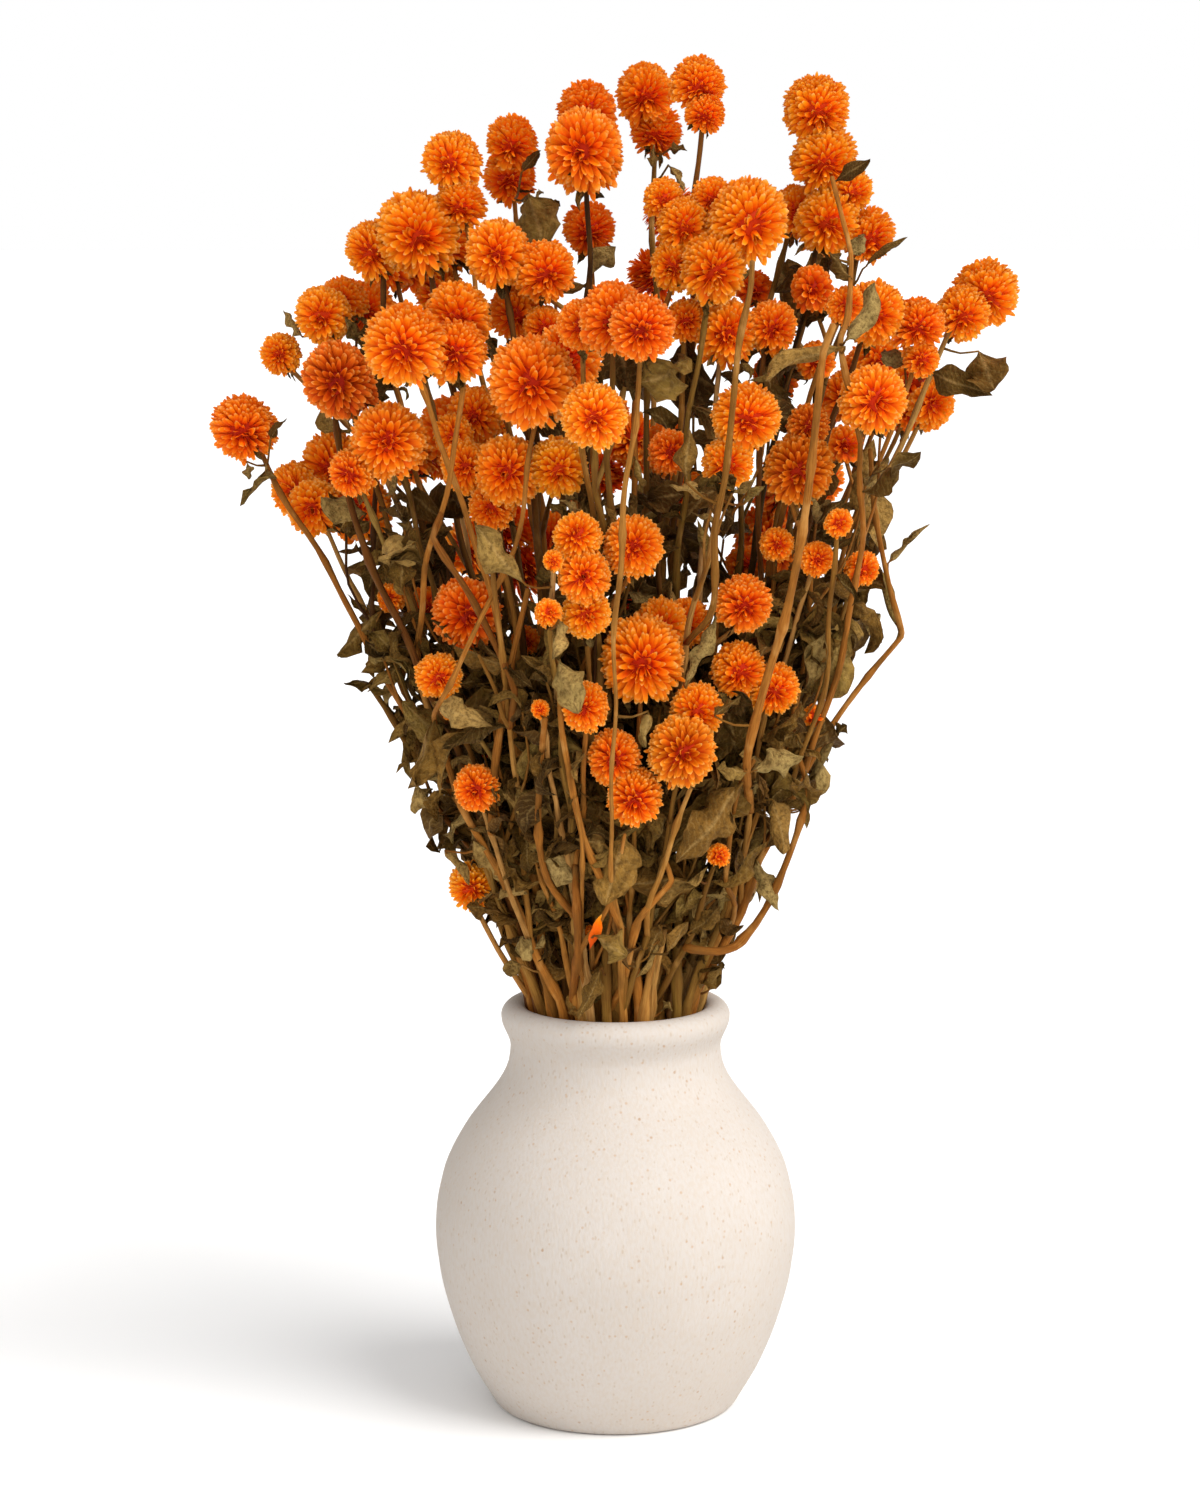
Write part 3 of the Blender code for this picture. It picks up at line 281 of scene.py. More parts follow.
def front_heads():
    """Every head that shows from the front, slid along its line of sight until none crosses another bunch."""
    rows, owners = [], []
    for name, heads in BUNCHES.items():
        rows += heads
        owners += [name] * len(heads)
    rows += SMALL_HEADS
    owners += ["small_%d" % index for index in range(len(SMALL_HEADS))]
    across, up, radius, back = (np.array(column, float) for column in zip(*rows))
    across, up, radius = across * MM, up * MM, radius * MM
    wanted = np.array([front_depth(x, z) * (1 - 2 * b) for x, z, b in zip(across, up, back)])
    wanted += radius * SINK
    measured = np.stack([across, up], axis=1)
    same = np.array([[a == b for b in owners] for a in owners])
    touching = np.zeros(same.shape, bool)
    for name in BUNCHES:
        members = [index for index, owner in enumerate(owners) if owner == name]
        for a, b in nearest_links(measured, members):
            touching[a, b] = touching[b, a] = True
    sums = radius[:, None] + radius[None, :]
    touch = np.where(np.minimum(radius[:, None], radius[None, :]) < BUD_RADIUS, BUD_TOUCH, TOUCH) * sums
    depth = wanted.copy()
    number = np.arange(len(rows))
    order = np.sign(wanted[:, None] - wanted[None, :] + 1e-6 * (number[:, None] - number[None, :]))
    for turn in range(HEAD_ROUNDS):
        grow = (depth - EYE.y) / -EYE.y
        places = np.stack([across * grow, EYE.z + (up - EYE.z) * grow], axis=1)
        between = places[:, None] - places[None, :]
        spread = np.maximum(np.linalg.norm(between, axis=2), 1e-6)
        apart = (depth[:, None] - depth[None, :]) * order
        least = np.where(same, CLOSEST * sums, sums + CLEAR)
        need = np.sqrt(np.maximum(least ** 2 - spread ** 2, 0))
        short = np.where(spread < least, np.maximum(need - apart, 0), 0)
        most = np.sqrt(np.maximum(touch ** 2 - spread ** 2, 0))
        loose = np.where(touching, np.maximum(np.abs(apart) - most, 0) * np.sign(apart), 0)
        active = np.maximum(((short > 1e-6) | (np.abs(loose) > 1e-6)).sum(axis=1), 1)
        shift = ((short - LINK_PULL * loose) * order).sum(axis=1) / active
        slide = np.where(touching, np.minimum(touch - spread, 0), 0)
        slide += SIDEWAYS * np.minimum(short, SIDEWAYS_MOST)
        sideways = (between / spread[..., None] * slide[..., None]).sum(axis=1)
        pull = DEPTH_PULL if turn < PULL_ROUNDS else 0.0
        depth += DEPTH_STEP * shift + pull * (wanted - depth)
        across += SIDE_STEP * sideways[:, 0] + HOLD * (measured[:, 0] - across)
        up += SIDE_STEP * sideways[:, 1] + HOLD * (measured[:, 1] - up)
    heads = []
    for index, owner in enumerate(owners):
        centre = seen(across[index], up[index], depth[index])
        heads.append(Head(owner, centre, radius[index] * (depth[index] - EYE.y) / -EYE.y))
    return heads


def back_heads(heads, draw):
    """Bunches on the far side of the bouquet, each a short chain of touching heads."""
    added = []

    def free(centre, radius, mates):
        for other in heads + added:
            if other not in mates and (other.centre - centre).length < other.radius + radius + CLEAR:
                return False
        return all((mate.centre - centre).length > APART * (mate.radius + radius) for mate in mates)

    for number in range(BACK_BUNCHES):
        name = "back_%02d" % (number + 1)
        chain = []
        for _ in range(BACK_TRIES):
            if len(chain) == BACK_HEADS:
                break
            radius = draw.uniform(*BACK_RADII) * MM
            if not chain:
                angle = math.pi * (number + 0.5 + draw.uniform(-0.3, 0.3)) / BACK_BUNCHES
                height = draw.uniform(*BACK_HEIGHTS)
                width = half_width(height)
                centre = Vector((BACK_REACH[0] * width * math.cos(angle),
                                 BACK_REACH[1] * DEPTH_SHARE * width * math.sin(angle), height))
            else:
                last = draw.choice(chain)
                way = Vector((draw.gauss(0, 1), draw.gauss(0, 0.5), draw.gauss(0, 1))).normalized()
                centre = last.centre + way * (TOUCH - 0.02) * (last.radius + radius)
                width = half_width(centre.z)
                bulge = math.hypot(centre.x / width, centre.y / (DEPTH_SHARE * width))
                if not BACK_SHELL[0] < bulge < BACK_SHELL[1] or not BACK_BAND[0] < centre.z < BACK_BAND[1]:
                    continue
            if free(centre, radius, chain):
                head = Head(name, centre, radius)
                chain.append(head)
                added.append(head)
    return added


def mark_stalks(heads):
    """A head whose underside is sunk in its neighbour is carried by it and has no stalk."""
    for head in heads:
        for mate in heads:
            if mate is not head and mate.node == head.node:
                if (mate.centre - head.pole()).length < mate.radius + 2 * STALK_RADIUS:
                    head.stalk = False
    for node in {head.node for head in heads}:
        bunch = [head for head in heads if head.node == node]
        if not any(head.stalk for head in bunch):
            min(bunch, key=lambda head: head.pole().z).stalk = True


class Stem:
    """A stem's centre line with a radius at each point. A branch starts from a point of its parent."""

    def __init__(self, head, points, parent=None, fork=0, trunk=1):
        thick = FORK_SHARE * parent.radii[fork] if parent else STEM_RADIUS
        self.head = head
        self.points = np.array(points, float)
        self.radii = np.linspace(thick, min(thick, STALK_RADIUS), len(points))
        if trunk > 1:
            self.radii[:trunk] = TRUNK_RADIUS
        self.parent = parent
        self.fork = fork
        self.trunk = trunk
        self.spray = ""


def cubic(t, start, start_way, end, end_way, reach=1.0):
    """The point at t, from 0 to 1, of a smooth bend between two ends with set directions."""
    return ((2 * t ** 3 - 3 * t * t + 1) * start + (t ** 3 - 2 * t * t + t) * reach * start_way
            + (3 * t * t - 2 * t ** 3) * end + (t ** 3 - t * t) * reach * end_way)


def hermite(start, start_way, end, end_way, count):
    """Points of one smooth bend, as strong as its ends are far apart."""
    reach = np.linalg.norm(end - start)
    return [cubic(t, start, start_way, end, end_way, reach) for t in np.linspace(0, 1, count)]


def leader_points(head, trunk):
    """Up the trunk, through the neck and on to the head."""
    width = half_width(head.centre.z)
    share = np.array([head.centre.x / width, head.centre.y / (DEPTH_SHARE * width)])
    share /= max(1.0, np.linalg.norm(share))
    opening = (LIP_CENTRE - LIP_RADIUS) * NECK_SHARE
    neck = np.array([share[0] * opening, share[1] * opening, VASE_HEIGHT + NECK_RISE])
    end = np.array(head.pole())
    route = WAYPOINTS.get((head.node, head.place))
    if route:
        above = [np.array(seen(x * MM, z * MM, front_depth(x * MM, z * MM))) for x, z in route]
        return trunk + [neck] + above + [end - STRAIGHT_END * np.array(head.axis), end]
    start_way = np.array([neck[0], neck[1], FAN_DEPTH])
    start_way /= np.linalg.norm(start_way)
    count = max(3, round(np.linalg.norm(end - neck) / STEM_STEP) + 1)
    below = end - STRAIGHT_END * np.array(head.axis)
    return trunk + hermite(neck, start_way, below, np.array(head.axis), count) + [end]


def leaders_from(foot, chosen):
    """A spray's main stems: one on the foot, and the others leaving it in turn inside the vase."""
    rungs = [foot + np.array([0.0, 0.0, 0.5 * FORK_STEP + FORK_STEP * index]) for index in range(len(chosen) - 1)]
    leaders = [Stem(chosen[0], leader_points(chosen[0], [foot] + rungs), trunk=len(chosen))]
    for index, head in enumerate(chosen[1:]):
        leaders.append(Stem(head, leader_points(head, [rungs[index]]), leaders[0], index + 1))
    return leaders


def branch_from(leaders, head, draw):
    """A side branch from the leader that passes nearest below the head."""
    end = np.array(head.pole())
    height = max(BRANCH_LOWEST, end[2] - draw.uniform(*BRANCH_DROP))
    best = None
    for leader in leaders:
        for index, point in enumerate(leader.points[:-1]):
            cost = math.hypot(*(point[:2] - end[:2])) + BRANCH_RISE_COST * abs(point[2] - height)
            if point[2] > VASE_HEIGHT and (best is None or cost < best[0]):
                best = (cost, leader, index)
    _, leader, index = best
    start = leader.points[index].copy()
    way = leader.points[index + 1] - start
    way = way / np.linalg.norm(way) + FORK_TURN * (end - start) / np.linalg.norm(end - start)
    way /= np.linalg.norm(way)
    count = max(2, round(np.linalg.norm(end - start) / STEM_STEP) + 1)
    below = end - STRAIGHT_END * np.array(head.axis)
    points = hermite(start, way, below, np.array(head.axis), count) + [end]
    return Stem(head, points, leader, index)


def plan_stems(heads, draw):
    """Share the heads out among the sprays and give each head its stem or branch."""
    carried = [head for head in heads if head.stalk]

    def place_in_fan(head):
        width = half_width(head.centre.z)
        return head.centre.x / width, head.centre.y / (DEPTH_SHARE * width)

    carried.sort(key=lambda head: math.atan2(*reversed(place_in_fan(head))))
    stems = []
    for number, part in enumerate(np.array_split(np.arange(len(carried)), SPRAYS)):
        members = [carried[index] for index in part]
        middle = sum((Vector(place_in_fan(head)) for head in members), Vector((0, 0)))
        angle = math.atan2(middle.y, middle.x)
        reach = FEET_RADII[number % 2]
        foot = np.array([reach * math.cos(angle), reach * math.sin(angle), FLOOR_THICKNESS + FOOT_GAP])
        named = [head for head in members if (head.node, head.place) in WAYPOINTS]
        others = sorted((head for head in members if head not in named), key=lambda head: -head.centre.z)
        count = max(2, round(LEADER_SHARE * len(members)))
        chosen = named + others[:max(0, count - len(named))]
        leaders = leaders_from(foot, chosen)
        branches = [branch_from(leaders, head, draw) for head in members if head not in chosen]
        for stem in leaders + branches:
            stem.spray = "spray_%02d" % (number + 1)
            stems.append(stem)
    return stems


def closest_on_segments(p, q, r, s):
    """Parameters of the closest points of segments p-q and r-s, for whole arrays of them."""
    u, v, w = q - p, s - r, p - r
    a = (u * u).sum(-1)
    b = (u * v).sum(-1)
    c = (v * v).sum(-1)
    d = (u * w).sum(-1)
    e = (v * w).sum(-1)
    span = np.maximum(a * c - b * b, 1e-14)
    first = np.clip((b * e - c * d) / span, 0, 1)
    second = np.clip((b * first + e) / np.maximum(c, 1e-14), 0, 1)
    first = np.clip((b * second - d) / np.maximum(a, 1e-14), 0, 1)
    return first, second


def settle(stems, heads):
    """Bend the stems clear of the other sprays, of the flower heads and of the vase's wall."""
    starts = np.cumsum([0] + [len(stem.points) for stem in stems])
    points = np.concatenate([stem.points for stem in stems])
    radii = np.concatenate([stem.radii for stem in stems])
    first = np.concatenate([np.arange(starts[i], starts[i + 1] - 1) for i in range(len(stems))])
    second = first + 1
    owner = np.concatenate([[i] * (len(stem.points) - 1) for i, stem in enumerate(stems)])
    sprays = np.array([stem.spray for stem in stems])[owner]
    a, b = np.triu_indices(len(first), 1)
    rooted = np.zeros(len(first), bool)
    rooted[starts[:-1] - np.arange(len(stems))] = True
    keep = (sprays[a] != sprays[b]) | ~(rooted[a] | rooted[b] | (owner[a] == owner[b]))
    a, b = a[keep], b[keep]
    centres = np.array([head.centre for head in heads])
    sizes = np.array([head.radius for head in heads])
    own = np.array([[stem.head is head for head in heads] for stem in stems])[owner]
    last = np.zeros(len(first), bool)
    last[starts[1:] - 2 - np.arange(len(stems))] = True
    fixed = np.zeros(len(points), bool)
    fixed[starts[:-1]] = True
    fixed[starts[1:] - 1] = True
    held = points[:, 2] < VASE_HEIGHT + 2 * NECK_RISE
    for index, stem in enumerate(stems):
        fixed[starts[index]:starts[index] + stem.trunk] = True
    forks = [(index, stem) for index, stem in enumerate(stems) if stem.parent is not None]
    parents = [starts[stems.index(stem.parent)] + stem.fork for index, stem in forks]
    for turn in range(SETTLE_ROUNDS):
        moves = np.zeros_like(points)
        hits = np.full(len(points), 1e-9)
        s, t = closest_on_segments(points[first[a]], points[second[a]], points[first[b]], points[second[b]])
        here = points[first[a]] * (1 - s)[:, None] + points[second[a]] * s[:, None]
        there = points[first[b]] * (1 - t)[:, None] + points[second[b]] * t[:, None]
        gap = here - there
        length = np.maximum(np.linalg.norm(gap, axis=1), 1e-6)
        room = np.maximum(radii[first[a]], radii[second[a]]) + np.maximum(radii[first[b]], radii[second[b]])
        short = np.maximum(room + SPRAY_GAP * SPRAY_ROOM - length, 0)
        push = gap / length[:, None] * (0.5 * short)[:, None]
        near = short > 0
        for ends, share, sign in ((first[a], 1 - s, 1), (second[a], s, 1), (first[b], 1 - t, -1), (second[b], t, -1)):
            np.add.at(moves, ends[near], sign * push[near] * share[near][:, None] * PUSH)
            np.add.at(hits, ends[near], share[near])
        p, q = points[first], points[second]
        along = np.clip(((centres[None] - p[:, None]) * (q - p)[:, None]).sum(-1)
                        / np.maximum(((q - p) ** 2).sum(-1), 1e-12)[:, None], 0, 1)
        along = np.where(own & last[:, None], 0, along)
        spot = p[:, None] + (q - p)[:, None] * along[..., None]
        gap = spot - centres[None]
        length = np.maximum(np.linalg.norm(gap, axis=2), 1e-6)
        room = sizes[None] + np.maximum(radii[first], radii[second])[:, None] + SPRAY_GAP
        short = np.maximum(room - length, 0)
        push = gap / length[..., None] * short[..., None]
        for ends, share in ((first, 1 - along), (second, along)):
            np.add.at(moves, ends, (push * share[..., None]).sum(1))
            np.add.at(hits, ends, ((short > 0) * share).sum(1))
        moves /= np.maximum(hits, 1)[:, None]
        straight = np.zeros_like(points)
        straight[1:-1] = 0.5 * (points[:-2] + points[2:]) - points[1:-1]
        ease = EASE if turn < EASE_ROUNDS else 0.0
        moves += ease * straight
        moves[fixed] = 0
        moves[held, 2] = 0
        points += moves
        flat = np.linalg.norm(points[:, :2], axis=1)
        inside = points[:, 2] < VASE_HEIGHT + 2 * NECK_RISE
        limit = LIP_CENTRE - LIP_RADIUS - radii - CLEAR
        squeeze = np.where(inside & (flat > limit), limit / np.maximum(flat, 1e-9), 1.0)
        points[:, :2] *= squeeze[:, None]
        for (index, stem), source in zip(forks, parents):
            points[starts[index]] = points[source]
    for index, stem in enumerate(stems):
        stem.points = points[starts[index]:starts[index + 1]]


class Leaf:
    """A dried, folded and waved blade that starts in a stem's heart."""

    def __init__(self, stem, root, way, side, length, phase):
        self.stem = stem
        self.spray = stem.spray
        self.root = root
        self.side = side
        self.length = length
        self.stations = []
        normal = way.cross(side).normalized()
        width = length * LEAF_SHARE
        for index in range(LEAF_SEGMENTS + 1):
            t = index / LEAF_SEGMENTS
            middle = root + way * length * t - normal * length * LEAF_DROOP * t * t
            half = 0.5 * width * math.sin(math.pi * (0.10 + 0.90 * t) ** 0.9)
            wave = LEAF_WAVE * math.sin(WAVE_STEP * index + phase)
            lift = LEAF_FOLD * half
            left = middle + side * half + normal * (lift + wave)
            right = middle - side * half + normal * (lift - wave)
            self.stations.append((left, middle + normal * LEAF_RIB / 2, right, middle - normal * LEAF_RIB / 2))

    def reach(self):
        return [corner for station in self.stations[1:] for corner in station]


def leaf_is_clear(leaf, stems, heads, leaves):
    """Whether a leaf keeps off every head and off the stems and leaves of the other sprays."""
    corners = np.array(leaf.reach())
    for head in heads:
        if np.linalg.norm(corners - np.array(head.centre), axis=1).min() < head.radius + LEAF_GAPS[0]:
            return False
    if (corners[:, 2] < VASE_HEIGHT + LEAF_GAPS[3]).any():
        return False
    for stem in stems:
        if stem is leaf.stem:
            continue
        for start, end, radius in zip(stem.points, stem.points[1:], stem.radii):
            line = end - start
            t = np.clip(((corners - start) @ line) / (line @ line), 0, 1)
            if np.linalg.norm(corners - start - t[:, None] * line, axis=1).min() < radius + LEAF_GAPS[1]:
                return False
    for other in leaves:
        gaps = np.linalg.norm(corners[:, None] - np.array(other.reach())[None], axis=2)
        if gaps.min() < LEAF_GAPS[2]:
            return False
    return True


def plan_leaves(stems, heads, draw):
    """The large leaves that show, then single leaves by rule up the stems."""
    leaves = []
    samples = []
    for stem in stems:
        for index in range(len(stem.points) - 1):
            for share in (0.0, 0.33, 0.67):
                place = stem.points[index] * (1 - share) + stem.points[index + 1] * share
                if place[2] > VASE_HEIGHT + LEAF_ROOT_RISE:
                    samples.append((Vector(place), stem, index))
    for root_x, root_z, tip_x, tip_z in LEAVES:
        aim = seen(root_x * MM, root_z * MM, front_depth(root_x * MM, root_z * MM))
        length = max(math.hypot(tip_x - root_x, tip_z - root_z) * MM, LEAF_LENGTH[0])
        ranked = sorted(samples, key=lambda sample: (sample[0] - aim).length)
        for root, stem, index in ranked[:30]:
            tip = seen(tip_x * MM, tip_z * MM, aim.y + draw.uniform(-0.01, 0.01))
            way = (tip - root).normalized()
            side = way.cross(Vector((0, 1, 0.3))).normalized()
            leaf = Leaf(stem, root, way, side, min(length * LEAF_LONGEST, (tip - root).length), draw.uniform(0, 6))
            if leaf_is_clear(leaf, stems, heads, leaves):
                leaves.append(leaf)
                break
    for _ in range(LEAF_TRIES):
        if len(leaves) >= len(LEAVES) + RANDOM_LEAVES:
            break
        root, stem, index = draw.choice(samples)
        if root.z > draw.uniform(*LEAF_HEIGHTS):
            continue
        outward = Vector((root.x, root.y, 0)).normalized()
        turned = Matrix.Rotation(draw.uniform(-LEAF_TURN, LEAF_TURN), 3, "Z") @ outward
        way = (turned + Vector((0, 0, draw.uniform(*LEAF_RISE)))).normalized()
        side = way.cross(Vector((0, 0, 1))).normalized()
        side = Matrix.Rotation(draw.uniform(-LEAF_TWIST, LEAF_TWIST), 3, way) @ side
        leaf = Leaf(stem, root, way, side, draw.uniform(*LEAF_LENGTH), draw.uniform(0, 6))
        if leaf_is_clear(leaf, stems, heads, leaves):
            leaves.append(leaf)
    return leaves


def plan_bunch():
    """Heads, stems and leaves of the whole bunch."""
    draw = random.Random(SEED)
    heads = front_heads()
    heads += back_heads(heads, draw)
    counts = {}
    for head in heads:
        head.place = counts.get(head.node, 0)
        counts[head.node] = head.place + 1
    mark_stalks(heads)
    stems = plan_stems(heads, draw)
    settle(stems, heads)
    return heads, stems, plan_leaves(stems, heads, draw)


# What scene.py draws on that layout. The camera: its focal length, its pitch in degrees and its shift
EYE_FOCAL = 85.6
EYE_PITCH = 8.36
EYE_SHIFT = -(615.5 - 600.0) / 1499.0
# The light of the world on the object, and what the camera sees of it. Lamps: from where, how wide in degrees,
# power and colour
WORLD_LIGHT = 0.62
WORLD_SEEN = 1.0
LAMPS = [("key", (0.64, -0.38, 0.78), 46, 2.9, (1.0, 0.988, 0.970)),
         ("fill", (-0.10, -0.90, 0.42), 90, 0.9, (1.0, 0.975, 0.945))]

# Bracts. Shares of the head's radius: the core, a bract's length, the reach of its tip, and half its width in
# spacings. In degrees: how far it leans away from the focus, less at the focus itself, and its roll
CORE_SHARE = 0.60
HEAD_GROWTH = 1.045
BRACT_LENGTH = 0.68
BRACT_REACH = 0.97
BRACT_HALF = 0.43
BRACT_LEAN = 44
FOCUS_LEAN = 30
BRACT_ROLL = 16
FOOT_LEAN = 0.25
GOLDEN_ANGLE = 137.508
BRACT_ROWS = np.array([0.26, 0.54, 0.79, 0.94, 1.0])
ROUND_WIDTHS = np.array([0.70, 1.0, 0.98, 0.70, 0.0])
POINTED_WIDTHS = np.array([0.80, 1.0, 0.78, 0.40, 0.0])
BACK_SPACING = 1.08
HIDDEN_SPACING = 1.35

# What fills the bunch, in numbers for each spray and for the whole
LEAVES_A_SPRAY = 92
TWIGS_A_SPRAY = 12
SHOOTS_A_SPRAY = 5
GAP_LEAVES = 220
RULE_TURNS = 900
TWIG_TURNS = 160
GAP_TURNS = 3000
# Leaves by rule: lowest root, lengths and half widths as shares of them
RULE_LOWEST = 0.184
RULE_LENGTHS = (0.011, 0.036)
RULE_WIDTHS = (0.20, 0.36)
# Twigs: heights at which they leave their stem, lengths, tip radius, and how far apart they start
TWIG_HEIGHTS = (0.195, 0.44)
TWIG_LENGTHS = (0.035, 0.105)
TWIG_TIP = 0.0006
TWIG_APART = 0.012
# Shoots: how high they reach, and their radii
SHOOT_HEIGHTS = (0.215, 0.31)
SHOOT_RADII = (0.0017, 0.0029)
# Leaves in the gaps: heights, how far out at most, lengths and half widths as shares of them
GAP_HEIGHTS = (0.30, 0.50)
GAP_OUTMOST = 0.72
GAP_LENGTHS = (0.018, 0.034)
GAP_WIDTHS = (0.25, 0.40)
# Stems and twigs: sides of their section, joints and how far apart those are, how much and how far they swell,
# and how far a stem shifts at a joint
STEM_SIDES = 7
TWIG_SIDES = 5
JOINTS = 12
JOINT_GAPS = (0.025, 0.055)
JOINT_SWELL = (0.3, 0.65)
JOINT_REACH = 0.0034
KINK_GAPS = (0.028, 0.060)
KINK = 0.0013
# A draw from here is an angle anywhere round
ROUND = (0, 6.28)
# Stems run straight in the vase, and bend freely this far above the first height
FREE_HEIGHT = 0.19
FREE_RISE = 0.03
RIM_LEAN = 0.115
# Shares of a head's radius that leaves and stems keep off, and that leaves don't hide from the eye
LEAF_CLEAR = 0.97
STEM_CLEAR = 1.03
UNHIDDEN = 0.85
# Stems are drawn in steps of these lengths in metres
STALK_STEP = 0.005
TWIG_STEP = 0.007
# Leaves wider than this, in millimetres, lie flatter and darker
WIDE_LEAF = 12.5

# How red (below 0) or yellow (above 0) a bunch of heads is, where it differs from its neighbours. Partly their own
# cast and partly painted light and shade: heads lying in shade are set redder and darker, and lit heads of the crown
# yellower and paler
TINTS = {"centre_red": -0.25, "left_dark": -0.95, "left_shade": -0.8, "far_left": -0.45, "centre_great": 0.0,
         "left_pale": 1.0, "right_lower": 0.2, "right_crown": 0.55, "centre_bright": 0.35, "left_low": 0.4,
         "right_tip": 0.7, "left_outer": 0.4, "centre_low": 0.2, "column_left": 0.2, "left_front": 0.1,
         "right_inner": -0.35, "centre_gap": -0.6, "low_pair": 0.0, "right_peak": 0.1, "centre_crown": 0.5,
         "left_crown": 0.55, "right_mid": -0.35, "left_peak": 0.25, "left_rim": 0.35, "middle_peak": 0.05,
         ("centre_low_left", 1): 0.9, ("low_right_pair", 0): 0.0, ("column_left", 2): 0.6,
         ("centre_red", 0): -0.45, ("right_crown", 1): 0.6, ("right_crown", 0): 0.7}
# Heads drawn darker than their cast gives them, partly a deeper colour of their own and partly painted shade where
# they lie in shadow. Their third shade is this much higher
DEEP_AND_SHADED_HEADS = ["left_dark", "right_mid", ("low_right_pair", 0)]
DEEP_AND_SHADED_MARK = 2.0
# Heads drawn larger than their solids, where the photograph shows wide open bracts
GROWTH = {"left_pale": 1.25}

# Small heads half hidden among the stems, given as those of the bunches are
HIDDEN_HEADS = [(58, 480, 8, 0.6), (82, 480, 9, 0.45), (67, 444, 10, 0.6), (84, 450, 8.5, 0.5),
                (22, 413, 12, 0.7), (-17, 466, 10.5, 0.3), (-52, 388, 8, 0.35), (-38, 330, 9, 0.4),
                (-79, 346, 9, 0.45), (-70, 307, 7, 0.3), (-55, 290, 8, 0.4), (68, 368, 8, 0.45),
                (54, 365, 8, 0.6), (30, 395, 10, 0.6), (84, 300, 5, 0.2), (-25, 405, 10, 0.6),
                (96, 415, 8, 0.5), (5, 345, 9, 0.6)]

# How pale the stems of these heads are, from 0 to 1, where the photograph shows it
STEM_LUCK = {("far_left", 0): 0.40, ("left_front", 1): 0.62, ("centre_red", 0): 0.72, ("centre_crown", 0): 0.80,
             ("right_crown", 0): 0.72, ("right_tip", 0): 0.45, ("right_lower", 0): 0.50}

